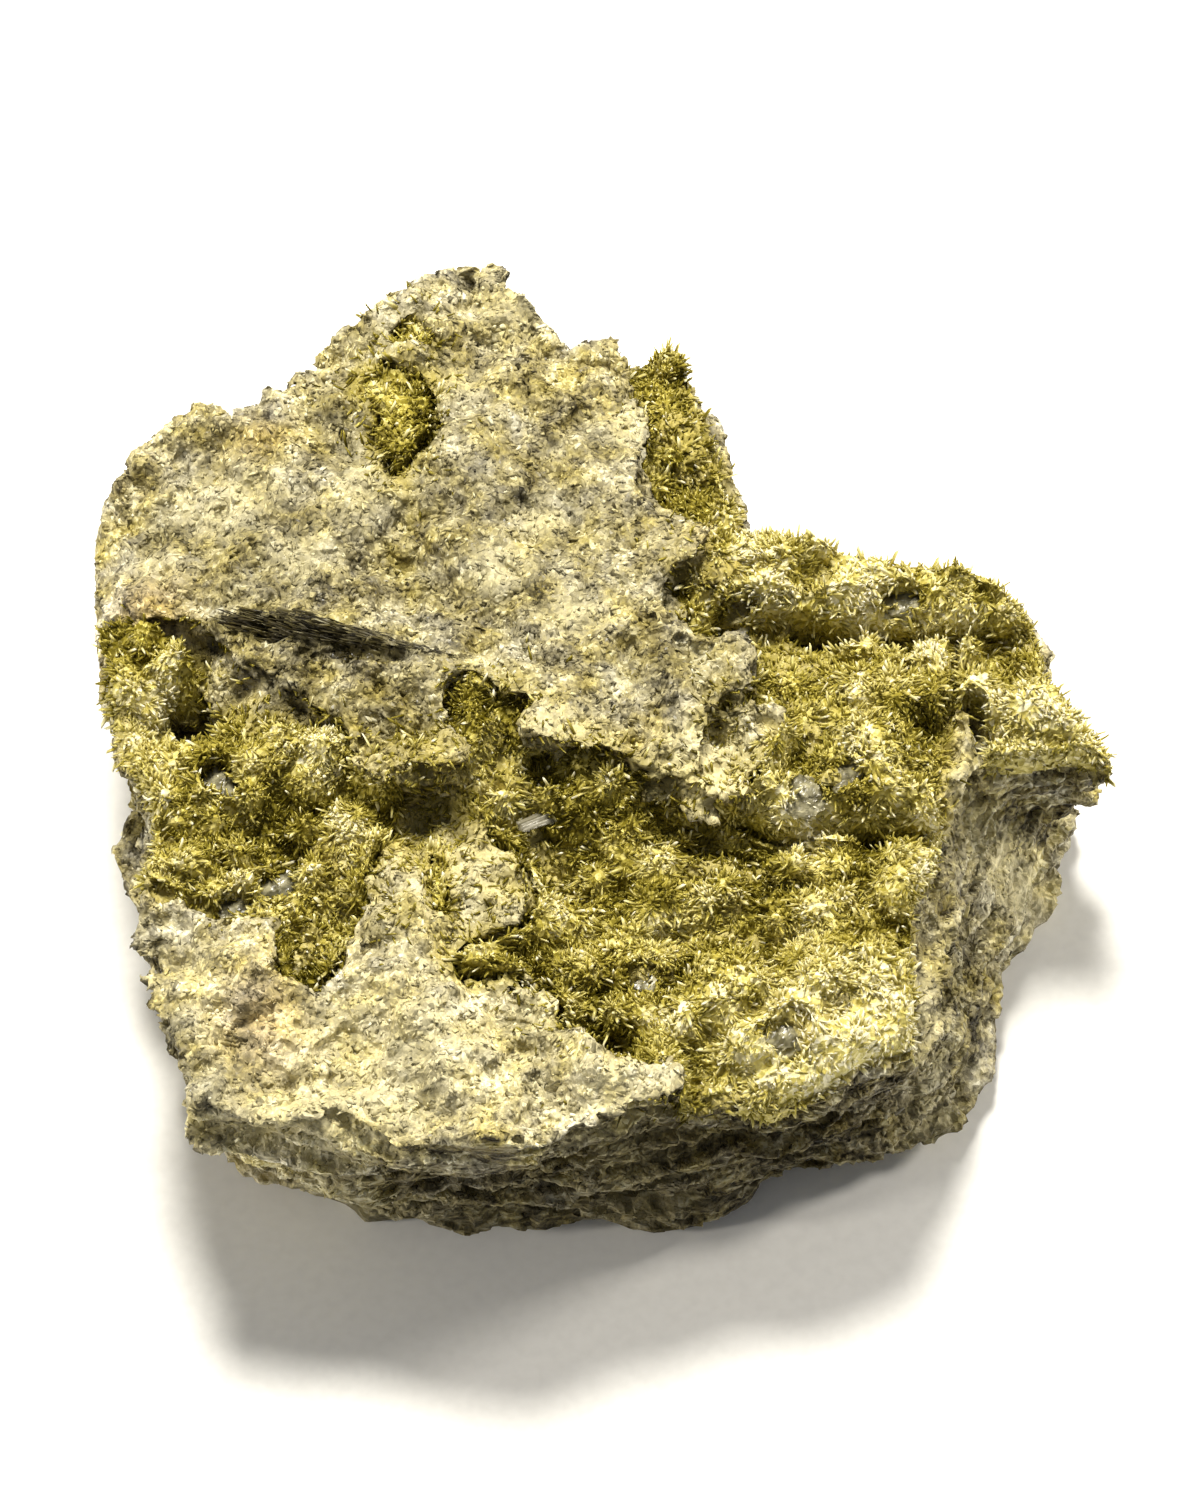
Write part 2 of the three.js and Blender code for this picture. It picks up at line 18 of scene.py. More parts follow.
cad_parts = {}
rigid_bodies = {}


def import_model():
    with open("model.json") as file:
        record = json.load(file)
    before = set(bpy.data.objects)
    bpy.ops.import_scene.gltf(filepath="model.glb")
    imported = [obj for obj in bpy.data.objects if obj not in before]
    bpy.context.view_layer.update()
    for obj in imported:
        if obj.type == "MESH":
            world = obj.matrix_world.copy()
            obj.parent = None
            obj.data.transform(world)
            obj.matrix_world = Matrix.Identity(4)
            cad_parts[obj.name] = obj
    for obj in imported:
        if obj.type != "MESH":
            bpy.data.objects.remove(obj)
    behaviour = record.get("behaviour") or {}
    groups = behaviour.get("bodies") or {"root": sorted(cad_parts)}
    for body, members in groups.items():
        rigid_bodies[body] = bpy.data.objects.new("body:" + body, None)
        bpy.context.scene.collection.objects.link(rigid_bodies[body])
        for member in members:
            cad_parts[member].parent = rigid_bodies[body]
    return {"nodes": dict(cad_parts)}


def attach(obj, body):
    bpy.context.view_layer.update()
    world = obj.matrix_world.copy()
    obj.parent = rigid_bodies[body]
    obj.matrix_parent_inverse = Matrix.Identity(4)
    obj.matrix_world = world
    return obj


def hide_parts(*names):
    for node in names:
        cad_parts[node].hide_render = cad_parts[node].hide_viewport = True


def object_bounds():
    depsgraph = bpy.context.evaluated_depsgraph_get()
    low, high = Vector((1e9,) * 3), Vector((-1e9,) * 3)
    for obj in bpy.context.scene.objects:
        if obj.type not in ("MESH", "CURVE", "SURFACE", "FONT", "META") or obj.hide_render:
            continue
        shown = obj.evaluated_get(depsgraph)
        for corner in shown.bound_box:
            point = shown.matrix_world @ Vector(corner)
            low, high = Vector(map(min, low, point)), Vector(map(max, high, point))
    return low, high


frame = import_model()
cad_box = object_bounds()
MM = 0.001
print("CAD box in mm:", [[round(v / MM, 1) for v in corner] for corner in cad_box])

# %% [markdown]
# Each real surface is judged from one place first, so the camera comes early. It looks
# down on the druse at 62 degrees from the front, from about a metre away, as a person
# does who holds a phone over a specimen on a table. A long lens at that distance keeps
# the slab's outline almost free of perspective.

# %% the camera
CAMERA_ELEVATION = math.radians(62)
CAMERA_DISTANCE = 0.9
CAMERA_AIM = Vector((0, 0, 0.020))
FRAME_HEIGHT = 0.150  # what the view's long side spans at that distance

camera_data = bpy.data.cameras.new("camera")
camera_data.sensor_width = 36
camera_data.lens = camera_data.sensor_width * CAMERA_DISTANCE / FRAME_HEIGHT
camera = bpy.data.objects.new("camera", camera_data)
bpy.context.scene.collection.objects.link(camera)
towards_camera = Vector((0, -math.cos(CAMERA_ELEVATION), math.sin(CAMERA_ELEVATION)))
camera.location = CAMERA_AIM + CAMERA_DISTANCE * towards_camera
camera.rotation_euler = (math.pi / 2 - CAMERA_ELEVATION, 0, 0)
bpy.context.scene.camera = camera
print(f"camera lens {camera_data.lens:.0f} mm")

# %% [markdown]
# Blender shades in linear light, but a colour is easiest to pick as a screen hex value.
# One function turns the one into the other. A second one adds a shader node: it takes the
# node's settings, and for each input either a plain value or the socket that feeds it.
# The ones after it add nodes that many of the materials need.

# %% colour and node helpers


def linear(hex_colour):
    channels = [int(hex_colour[i : i + 2], 16) / 255 for i in (1, 3, 5)]
    curve = [c / 12.92 if c <= 0.04045 else ((c + 0.055) / 1.055) ** 2.4 for c in channels]
    return (*curve, 1.0)


def add_node(tree, kind, inputs=None, stops=None, **settings):
    """A shader node, whose kind is the name of its type without "ShaderNode" before it."""
    node = tree.nodes.new("ShaderNode" + kind)
    for name, value in settings.items():
        setattr(node, name, value)
    for name, value in (inputs or {}).items():
        if isinstance(value, bpy.types.NodeSocket):
            tree.links.new(value, node.inputs[name])
        else:
            node.inputs[name].default_value = value
    if stops:
        marks = node.color_ramp.elements
        marks.remove(marks[1])
        for place, hex_colour in sorted(stops):
            mark = marks[0] if place == min(stops)[0] else marks.new(place)
            mark.position, mark.color = place, linear(hex_colour)
    return node


def calculate(tree, operation, *values, kind="Math"):
    """What a Math or VectorMath node makes of the values, each one plain or a socket."""
    return add_node(tree, kind, dict(enumerate(values)), operation=operation).outputs[0]


def attribute(tree, name):
    """The number that each corner of the piece has under this name."""
    return add_node(tree, "Attribute", attribute_name=name).outputs["Fac"]


def show_surface(tree, inputs):
    """Ends a material with a Principled shader that has these inputs."""
    shader = add_node(tree, "BsdfPrincipled", inputs)
    add_node(tree, "OutputMaterial", {0: shader.outputs[0]})


def new_material(name):
    material = bpy.data.materials.new(name)
    material.use_nodes = True
    material.node_tree.nodes.clear()
    return material, material.node_tree


# %% [markdown]
# A CAD solid arrives as loose triangles. A copy of it, merged into one skin, is the start
# for every piece of rock and crust: the copy keeps the place and size of the solid, and
# modifiers then break its flat facets up.

# %% mesh helpers


def select_only(piece):
    bpy.ops.object.select_all(action="DESELECT")
    piece.select_set(True)
    bpy.context.view_layer.objects.active = piece


def apply_modifier(piece, kind, **settings):
    modifier = piece.modifiers.new(kind.lower(), kind)
    for name, value in settings.items():
        setattr(modifier, name, value)
    select_only(piece)
    bpy.ops.object.modifier_apply(modifier=modifier.name)


def copy_of_solid(node, name):
    piece = bpy.data.objects.new(name, frame["nodes"][node].data.copy())
    bpy.context.scene.collection.objects.link(piece)
    piece.data.name = name
    piece.data.materials.clear()
    select_only(piece)
    bpy.ops.object.mode_set(mode="EDIT")
    bpy.ops.mesh.select_all(action="SELECT")
    bpy.ops.mesh.remove_doubles(threshold=0.002 * MM)
    bpy.ops.object.mode_set(mode="OBJECT")
    return piece


def places_of(piece):
    found = np.empty(3 * len(piece.data.vertices), np.float32)
    piece.data.vertices.foreach_get("co", found)
    return found.reshape(-1, 3)


def move_to(piece, places):
    piece.data.vertices.foreach_set("co", places.astype(np.float32).ravel())
    piece.data.update()


def normals_of(piece):
    found = np.empty(3 * len(piece.data.vertices), np.float32)
    piece.data.vertex_normals.foreach_get("vector", found)
    return found.reshape(-1, 3)


def ramp(values, start, end):
    """0 up to start, 1 from end on, and a smooth curve between them."""
    share = np.clip((values - start) / (end - start), 0, 1)
    return share * share * (3 - 2 * share)


def weigh(piece, name, weights, levels=20):
    """A vertex group with a weight for each corner, rounded to a few levels."""
    group = piece.vertex_groups.new(name=name)
    rounded = np.round(weights * levels).astype(int)
    for level in range(1, levels + 1):
        members = np.flatnonzero(rounded == level)
        group.add(members.tolist(), level / levels, "REPLACE")
    return name


def paint(piece, name, values):
    """Keeps one number for each corner as an attribute, for a material to read."""
    attribute = piece.data.attributes.new(name, "FLOAT", "POINT")
    attribute.data.foreach_set("value", values.astype(np.float32))


def keep_what_is_linked_to(piece, start):
    """Deletes the crumbs that a voxel skin leaves loose inside it or beside it."""
    before = len(piece.data.vertices)
    select_only(piece)
    bpy.ops.object.mode_set(mode="EDIT")
    bpy.ops.mesh.select_all(action="DESELECT")
    bpy.ops.object.mode_set(mode="OBJECT")
    piece.data.vertices[start].select = True
    bpy.ops.object.mode_set(mode="EDIT")
    bpy.ops.mesh.select_linked()
    bpy.ops.mesh.select_all(action="INVERT")
    bpy.ops.mesh.delete(type="VERT")
    bpy.ops.object.mode_set(mode="OBJECT")
    print("loose corners deleted:", before - len(piece.data.vertices))


EDGE_BAND_MM = 1.6  # nearer than this to the box's edge, a place is drawn back


def kept_inside(places):
    """Places near or past the CAD box's sides and top, drawn back so that none is outside."""
    band = EDGE_BAND_MM * MM
    kept = places.copy()
    for axis, side in ((0, -1), (0, 1), (1, -1), (1, 1), (2, 1)):
        edge = side * (cad_box[0] if side < 0 else cad_box[1])[axis]
        past = side * places[:, axis] - (edge - band)
        drawn = edge - band * np.exp(-np.maximum(past, 0) / band)
        kept[:, axis] = np.where(past > 0, side * drawn, kept[:, axis])
    kept[:, 2] = np.maximum(kept[:, 2], 0)
    return kept


def triangle_count(piece):
    return sum(len(p.vertices) - 2 for p in piece.data.polygons)


# %% [markdown]
# ## The host rock
# A rock breaks at every scale at once: broad lumps, flakes a few millimetres across, and
# single grains under a millimetre. One Displace modifier for each scale adds them, coarse
# first, on a fine voxel skin. The base stays flat, because the specimen stands on it. How
# far up a face looks, which is its normal's z, tells tops, sides and undersides apart.

# %% displacement helpers
RELIEF_MM = {  # the size of each kind of break in the rock, and its height
    "lumps": (8, 2.0),
    "flakes": (1.9, 0.55),
    "pits": (1.7, 1.0),
    "blocks": (4.5, 1.7),
    "splits": (1.6, 0.7),
    "grains": (0.8, 0.3),
}
TOP_TO_SIDE = (0.55, 0.2)  # the normal's z, from where a top ends to where a side begins
UNDERSIDE_TO_SIDE = (-0.9, -0.5)
SLOPE_TO_LEVEL = (0.35, 0.75)
LOWEST_TOP_MM = 8  # every plateau is above this height


def pattern(name, kind, size_mm, **settings):
    texture = bpy.data.textures.new(name, kind)
    texture.noise_scale = size_mm * MM
    for key, value in settings.items():
        setattr(texture, key, value)
    return texture


def displace(piece, texture, height_mm, group="", **settings):
    apply_modifier(
        piece,
        "DISPLACE",
        texture=texture,
        strength=height_mm * MM,
        mid_level=0.5,
        vertex_group=group,
        **({"texture_coords": "LOCAL"} | settings),
    )


def break_up(name, group, kind="VORONOI", **settings):
    """One kind of break in the rock's skin, as strong as the group of corners says."""
    size, height = RELIEF_MM[name]
    settings = settings or {"color_mode": "POSITION"}
    displace(rock, pattern(name, kind, size, **settings), height, group)


def wall_share(normals):
    """1 where a place looks sideways, and 0 on tops and on undersides."""
    return ramp(normals[:, 2], *TOP_TO_SIDE) * ramp(normals[:, 2], *UNDERSIDE_TO_SIDE)


# %% the host rock's skin
ROCK_VOXEL_MM = 0.37
BASE_BAND_MM = (0.4, 3.0)  # the displacement grows from nothing to full over this height
RIM_BAND_MM = (15, 21)  # the lips and rims above this get ragged outlines
RAGGED_MM = [(4.0, 1.9), (1.6, 0.8)]  # the size of a rim's notches, and their depth

rock = copy_of_solid("host_rock", "host_rock_stone")
apply_modifier(rock, "REMESH", mode="VOXEL", voxel_size=ROCK_VOXEL_MM * MM)
heights = places_of(rock)[:, 2] / MM
free = weigh(rock, "free", ramp(heights, *BASE_BAND_MM))
high = weigh(rock, "high", ramp(heights, *RIM_BAND_MM))
apply_modifier(rock, "SMOOTH", factor=0.5, iterations=10, vertex_group=free)
for direction, basis in (("X", "IMPROVED_PERLIN"), ("Y", "ORIGINAL_PERLIN")):
    for size, depth in RAGGED_MM:
        ragged = pattern("ragged_" + direction, "CLOUDS", size, noise_depth=0, noise_basis=basis)
        displace(rock, ragged, depth, high, direction=direction)
break_up("lumps", free, "CLOUDS", noise_depth=2)
facing = normals_of(rock)
steepness = ramp(heights, *BASE_BAND_MM) * wall_share(facing)
print("skin of", triangle_count(rock), "triangles")

# %% [markdown]
# The tops of the slab broke along thin, nearly level layers, so each plateau is made of
# low steps with ragged edges, less than half a millimetre high. Rounding a smooth noise
# down to whole steps gives that, and the finer noise in it makes the edges ragged.

# %% thin steps on the plateaus
STEP_MM = 0.42
STEPS_SPREAD_MM = 3.6
STEP_WANDER = [(9.0, 1.0), (2.7, 0.42), (1.1, 0.2)]  # size in mm, share
STEP_EDGE = (0.7, 1.0)  # the part of a step in which its edge climbs
HARDLY_WITH_HEIGHT = (1, 1, 0.2)  # how much the noise changes along x, y and z


def noise_of(points):
    return np.array([noise.noise(Vector(point)) for point in points.tolist()])


def steps_over(places_mm):
    """How far the layers' ragged steps stand out at each place, in mm."""
    flat = places_mm * HARDLY_WITH_HEIGHT
    swell = sum(share * noise_of(flat / size) for size, share in STEP_WANDER)
    number, share = np.divmod(swell * STEPS_SPREAD_MM / STEP_MM, 1)
    return STEP_MM * (number + ramp(share, *STEP_EDGE))


places = places_of(rock)
level_share = ramp(facing[:, 2], *SLOPE_TO_LEVEL) * (heights > LOWEST_TOP_MM)
on_tops = np.flatnonzero(level_share > 0)
rise = steps_over(places[on_tops] / MM) * level_share[on_tops]
places[on_tops, 2] += MM * rise
move_to(rock, places)
print(f"steps stand out by {rise.min():.1f} to {rise.max():.1f} mm")

# %% [markdown]
# The rock is made of thin, nearly level layers, and its sides broke across them.
# Every layer ends a little further in or out than the next, along a ragged line of its
# own. Noise in the plane of the layer, with the layer's number as third coordinate, gives
# each one such a line. Thick packets and thin sheets are added up.

# %% layers on the broken sides
LAYER_NORMAL = np.array([0.1, -0.06, 0.993])  # the layers dip gently to the right and front
LAYERS = [(4.6, 16.0, 2.6), (1.9, 8.0, 1.6), (0.95, 4.0, 0.9)]  # thickness, wander, height
LAYER_WARP = [(13.0, 1.8), (4.0, 0.8), (1.4, 0.22)]  # size and height of the layers' waves, in mm
LAYER_UNDERCUT = 0.65  # how far a layer's foot stands behind its top edge, as a share
LAYERS_DRAWN_IN_MM = 0.6
LAYER_APART = 7.31  # from one layer's noise to the next one's, so that no two are alike
LAYER_TONE = 0.7  # how much the layers differ in tone: in their minerals, and in painted light and shade
LAYER_END_TONE = 0.6  # of that, how much comes from how far out the layer ends
LAYER_EDGE_LIGHT = 0.5  # and how much from how near its top edge is, as painted light there and painted shade at its foot
FOOT_TO_EDGE = (0, 0.8)  # the part of a layer in which its foot's painted shade turns into its edge's painted light
FOOT_TO_EDGE_MEAN = 0.6  # the average of that ramp, so that it makes no layer paler
PUSHED_LEVEL = (1, 1, 0.25)  # layers move out nearly level, whichever way the skin looks
LEAST_OUTWARD = 0.2  # the skin moves less where it hardly looks sideways


def across_layers(places_mm):
    return places_mm @ LAYER_NORMAL + sum(h * noise_of(places_mm / size) for size, h in LAYER_WARP)


def layer_ends(places_mm):
    """How far out each place on a side ends, in mm, and how pale the layers there are, with painted
    light on their top edges and painted shade at their feet.
    """
    across = across_layers(places_mm)
    out = np.full(len(places_mm), -LAYERS_DRAWN_IN_MM)
    paleness = np.zeros(len(places_mm))
    for thickness, wander, height in LAYERS:
        number, share = np.divmod(across / thickness, 1)
        plane = np.column_stack([places_mm[:, :2] / wander, LAYER_APART * number])
        ends = noise_of(plane)
        out += height * (ends + LAYER_UNDERCUT * (share - 0.5))
        edge_light_and_shade = LAYER_EDGE_LIGHT * (ramp(share, *FOOT_TO_EDGE) - FOOT_TO_EDGE_MEAN)
        paleness += LAYER_TONE * (LAYER_END_TONE * ends + edge_light_and_shade)
    return out, paleness


places = places_of(rock)
outward = normals_of(rock) * PUSHED_LEVEL
outward /= np.maximum(np.linalg.norm(outward, axis=1, keepdims=True), LEAST_OUTWARD)
on_sides = np.flatnonzero(steepness > 0)
out = layer_ends(places[on_sides] / MM)[0] * steepness[on_sides]
places[on_sides] += MM * out[:, None] * outward[on_sides]
move_to(rock, places)
print(f"layers end from {out.min():.1f} to {out.max():.1f} mm")

# %% [markdown]
# Pushing the layers out has stretched the skin on every ledge. A second voxel skin over
# the first has even faces again, and takes the fine relief without streaks. It also wraps
# a few crumbs that hang loose, which are deleted, so that the rock stays one closed skin.

# %% flakes, pits and grains of the rock
ROCK_TRIANGLES = 196_000
BROKEN_BAND_MM = (1.0, 4.0)  # blocks break out of the sides above this height
rock.vertex_groups.clear()
apply_modifier(rock, "REMESH", mode="VOXEL", voxel_size=ROCK_VOXEL_MM * MM)
middle_of_base = int(np.argmin(np.linalg.norm(places_of(rock), axis=1)))
keep_what_is_linked_to(rock, middle_of_base)
facing = normals_of(rock)
free = weigh(rock, "free", ramp(places_of(rock)[:, 2] / MM, *BASE_BAND_MM))
level = weigh(rock, "level", ramp(facing[:, 2], *SLOPE_TO_LEVEL))
break_up("flakes", level)
break_up("pits", level, "CLOUDS", noise_depth=2)
heights = places_of(rock)[:, 2] / MM
broken = weigh(rock, "broken", wall_share(facing) * ramp(heights, *BROKEN_BAND_MM))
break_up("blocks", broken)
break_up("splits", broken)
break_up("grains", free)

rock_triangles = triangle_count(rock)
thinning = min(1, ROCK_TRIANGLES / rock_triangles)
apply_modifier(rock, "DECIMATE", ratio=thinning, use_collapse_triangulate=True)
places = places_of(rock)
places[:, 2] = np.where(places[:, 2] < BASE_BAND_MM[0] * MM, 0, places[:, 2])
move_to(rock, kept_inside(places))
rock.vertex_groups.clear()
print("host rock:", rock_triangles, "triangles thinned to", triangle_count(rock))

# %% [markdown]
# Where the druse lies on it, and for a millimetre or two around, the rock is stained
# green. The distance from each point of the rock to the nearest crust gives that.

# %% how near each point of the rock is to a crust
DRUSES = [name for name in frame["nodes"] if name.startswith("druse_")]


def tree_of(objects):
    corners, faces, owners = [], [], []
    for piece in objects:
        first = len(corners)
        corners += [v.co.copy() for v in piece.data.vertices]
        faces += [[first + i for i in p.vertices] for p in piece.data.polygons]
        owners += [piece.name] * len(piece.data.polygons)
    return BVHTree.FromPolygons(corners, faces), owners


crusts, crust_of_face = tree_of([frame["nodes"][name] for name in DRUSES])
FAR_MM = 8.0  # no crust further off than this is looked for
COVERED_MM = 0.6  # rock nearer than this to a crust lies under it


def nearest_crust(places):
    """For each place: the distance to the nearest crust, how far above it, and its name."""
    found = [crusts.find_nearest(Vector(p), FAR_MM * MM) for p in places.tolist()]
    distances = np.array([FAR_MM if f[3] is None else f[3] / MM for f in found])
    above = [0 if f[0] is None else p[2] - f[0].z for p, f in zip(places.tolist(), found)]
    owners = [None if f[2] is None else crust_of_face[f[2]] for f in found]
    return distances, np.array(above) / MM, owners


rock_distance, rock_above, _ = nearest_crust(places_of(rock))
print("rock points under a crust:", int((rock_distance < COVERED_MM).sum()))

# %% [markdown]
# The plateaus aren't one colour: grey quartz-rich patches lie beside pale yellow ones,
# a little iron gives a few peach stains, and some mica flecks are nearly black. The long
# gash and a few crevices and hollows beside the druse are painted nearly black, as painted
# shadow. The broken sides are painted darker than the tops, partly as darker rock and
# partly as painted shade, most of all in front, apart from a few places where painted
# light lifts it. Two pale patches, on the front face and under the right ledge, are
# painted light too. Druse that is too thin to be a crust grows on some bare rock.
# Each patch is a place, a radius each way, and how strong it is there. The stains become
# attributes, which the materials then read.

# %% patches of colour: x, y, radius along x, radius along y (mm), strength
ROCK_PATCHES = {
    "greyer": [
        (-44, 20, 4, 4, 0.9), (-27, 32, 3, 4, 0.8), (5, 2, 11, 4, 0.8), (-4, 32, 6, 4, 0.5),
        (-31, 20, 5, 4, 0.4), (-46, -31, 3, 3, 0.8), (-42, -36, 3, 3, 0.8), (-37, -41, 4, 3, 0.7),
        (-20, -4, 8, 4, 0.6), (4, -10, 4, 3, 0.7), (-45, -26, 4, 3, 0.4), (-15, 16, 30, 24, 0.58),
        (-39, 17, 8, 8, 0.6), (-34, 13, 9, 6, 0.75), (35, -25, 3.5, 11, 0.7),
        (-36, 17, 6, 7, 0.75), (-2, 21, 5, 9, 0.4), (-19, 12, 7, 4, 0.5),
    ],
    # (41, -9) under the right ledge and (-25, -44) on the front face are painted light where light
    # falls; the rest are paler rock
    "paler": [
        (-10, 43, 5, 3, 0.5), (-10, 12, 3, 2.5, 0.9), (-6, 17.5, 2.2, 2, 0.8),
        (-37, 23, 5, 4, 0.8), (-44, 15, 3, 3, 0.6), (-30, 15, 3, 3, 0.7), (-24, 22, 2.5, 4, 0.6),
        (-2, 7, 3, 2, 0.7), (2, 29, 3, 3, 0.6), (-14, 34, 3, 3, 0.6), (-41, -30, 5, 5, 0.4),
        (-4, -6, 4, 2.5, 0.8), (12, -11, 6, 5, 1.6), (-20, -38, 18, 9, 0.6), (-13, -20, 6, 6, 0.9),
        (3, -42, 6, 4, 0.8), (-6, -33, 5, 4, 0.6), (32, -34, 2.5, 8, 0.7), (41, -9, 8, 4, 0.9),
        (-25, -44, 12, 3.5, 0.9),
    ],
    "peach": [
        (-45, 10, 4, 4, 0.45), (-33, -35, 4, 5, 0.4), (-34, 29, 3, 2, 0.3), (12, 15, 3, 3, 0.25),
    ],
    # painted shadow in the gash, in crevices and hollows beside the druse, and a few dark mica
    # flecks
    "dark_and_shaded": [
        (-33.5, 7.3, 2.5, 1.5, 0.5), (-30, 5.3, 3, 1.6, 0.8), (-25, 3.6, 4, 1.6, 0.9),
        (-20, 2.4, 2.5, 0.9, 0.8), (-38.5, 7.5, 1.6, 2.5, 0.6), (-35.5, 3, 2.5, 1.4, 0.6),
        (-31, -0.5, 3, 1.2, 0.7), (-27, -3, 2.5, 1.2, 0.6), (-8.1, 20.3, 0.8, 0.9, 0.9),
        (-4.5, 26.8, 0.9, 0.6, 0.7), (-27, 31, 0.8, 0.8, 0.6), (-40.5, -3, 3.5, 3, 0.8),
        (8.5, -14, 2, 1.2, 0.7), (22.5, 8.2, 4, 1.2, 0.6), (37.2, -2.6, 1.4, 4.5, 0.5),
    ],
}

FRONT_Y_MM = (-38, -30)  # the front face is painted with shade in front of this
FRONT_Z_MM = (20, 26)  # and below this
# painted shade: how much darker the front face and the other broken sides are painted, partly as
# darker rock
FRONT_DARKNESS = 0.72
SIDE_DARKNESS = 0.84
# places on the broken sides where the painted shade is lifted, as painted light where light falls
# on them
LIT_SIDES = [(-34, -44, 10, 8, 0.8), (44, -8, 7, 4, 0.55), (37, -7, 5, 6, 0.8)]
THIN_DRUSE_PATCHES = [
    (-17.5, -7.5, 4, 3, 1.0), (-17, -11, 5, 3.5, 1.0), (8, -10.5, 4, 3, 0.9),
    (11.6, -3.5, 2.5, 4, 0.8), (-16, -14, 6, 5, 1.0), (-20.5, 32, 4, 8, 0.7),
    (-3, -34, 3.5, 4, 0.6), (-8, -20, 3, 5, 0.9), (-11.5, -26.5, 4, 3, 0.9),
    (-20, -24, 2.5, 4, 0.6), (-26, -17, 2.5, 3, 0.7), (2, -32, 3, 2.5, 0.7), (7.5, -37, 3, 3, 0.7),
    (13, -12, 4, 3, 0.4), (12, 20, 3, 3, 0.6), (-47, 0, 3, 5, 0.6), (9, 13, 3, 3, 0.5),
    (-10.5, -3, 4, 4, 0.8), (-3, -8.5, 5, 2.5, 0.9), (5, -10, 5, 2.2, 0.7), (-37, -1, 4, 2.5, 0.5),
    (-28, -6, 5, 2.5, 0.6), (-20, -9.5, 4, 2.5, 0.7), (-9, -27, 5, 2.5, 0.6),
]

# %% the stains of the rock
CRUST_RIM_MM = (-0.4, 0.4)  # from just below a crust's rim to just above it
GREEN_FROM_MM, GREEN_TO_MM = 0.3, 2.4  # the green fades over this distance from a crust
GREEN_CUT_MM = 1.7  # and ends this much sooner on the outer sides
THIN_DRUSE_GREEN = 0.8
THIN_ON_OUTER_SIDES = 0.5


def patch_strength(places_mm, patches):
    strength = np.zeros(len(places_mm))
    for x, y, radius_x, radius_y, most in patches:
        apart = ((places_mm[:, 0] - x) / radius_x) ** 2
        apart += ((places_mm[:, 1] - y) / radius_y) ** 2
        strength = np.maximum(strength, most * np.exp(-apart))
    return strength


def outer_share(normals, above):
    """1 on the sides below a crust's rim, and 0 on the lips that overhang a crust."""
    return wall_share(normals) * (1 - ramp(above, *CRUST_RIM_MM))


def rock_stains(places, normals, distance, above):
    """How strongly each stain shows, for places on the rock and their outward normals."""
    stains = {k: patch_strength(places / MM, patches) for k, patches in ROCK_PATCHES.items()}
    thin_druse = patch_strength(places / MM, THIN_DRUSE_PATCHES)
    outer = outer_share(normals, above)
    near = 1 - ramp(distance, GREEN_FROM_MM, GREEN_TO_MM - GREEN_CUT_MM * outer)
    thin = THIN_DRUSE_GREEN * thin_druse * (1 - THIN_ON_OUTER_SIDES * outer)
    stains["druse_near"] = np.maximum(near, thin)
    wall = wall_share(normals)
    _, y, z = (places / MM).T
    # painted shade on the front face and the sides, partly darker rock, lifted where light falls on
    # the sides
    front = FRONT_DARKNESS * (1 - ramp(y, *FRONT_Y_MM)) * (1 - ramp(z, *FRONT_Z_MM))
    dark = np.maximum(SIDE_DARKNESS * wall, front)
    stains["dark_side_and_shade"] = dark * (1 - patch_strength(places / MM, LIT_SIDES))
    # layer tones on the sides: random minerals, and painted light and shade along each layer
    stains["layer"] = wall * layer_ends(places / MM)[1]
    return stains


stains = rock_stains(places_of(rock), normals_of(rock), rock_distance, rock_above)
for name, amounts in stains.items():
    paint(rock, name, amounts)
    print(f"{name}: {amounts.mean():.2f} on average")

# %% [markdown]
# The rock's colour is that of its grains: cream and pale yellow feldspar and
# clinozoisite, grey quartz, and a few dark flecks, each 0.4 to 1 mm across. A Voronoi
# texture gives every cell one random number, and a stepped ramp turns the number into a
# mineral. Broad noise shifts the numbers, so that whole patches come out greyer or paler.

# %% the colours of the rock's grains, and the stains over them
ROCK_GRAINS = [
    (0.04, "#413b27"),
    (0.18, "#6d6548"),
    (0.32, "#8b8260"),
    (0.46, "#a29974"),
    (0.60, "#b8ae83"),
    (0.74, "#cfc597"),
    (0.86, "#e5dcb0"),
    (0.96, "#faf5d4"),
]
ROCK_STAINS = [
    ("greyer", "MULTIPLY", "#aaa793"),
    ("paler", "MIX", "#ece3b6"),
    ("peach", "MULTIPLY", "#f0cfa6"),
    ("druse_near", "MIX", "#ab9d47"),
    # painted shade on the broken sides, most in front, and partly darker rock
    ("dark_side_and_shade", "MULTIPLY", "#686049"),
    # painted shadow in the gash and in crevices and hollows, and a few dark flecks
    ("dark_and_shaded", "MULTIPLY", "#3a352c"),
]
STAIN_STRENGTH = {"paler": 0.55, "druse_near": 0.75}
LAMINA_MM = (2.6, 2.6, 0.4)  # the size of the thin pale and dark sheets on the broken sides
LAMINA_TONE = 3.2  # how much these sheets differ
ROCK_SPECULAR = 0.18  # low, because the tiny grains shade one another and the rock is dull
YELLOW_MM = 4.5  # the size of the patches that are greyer or yellower than the rest
YELLOWNESS = (0.6, 1.4)  # the saturation of the greyest and of the yellowest patch


def object_millimetres(tree, cell=(1, 1, 1)):
    """A place on the piece in millimetres, or in cells of so many millimetres each way."""
    place = add_node(tree, "TexCoord").outputs["Object"]
    scale = [1 / (size * MM) for size in cell]
    return calculate(tree, "MULTIPLY", place, scale, kind="VectorMath")


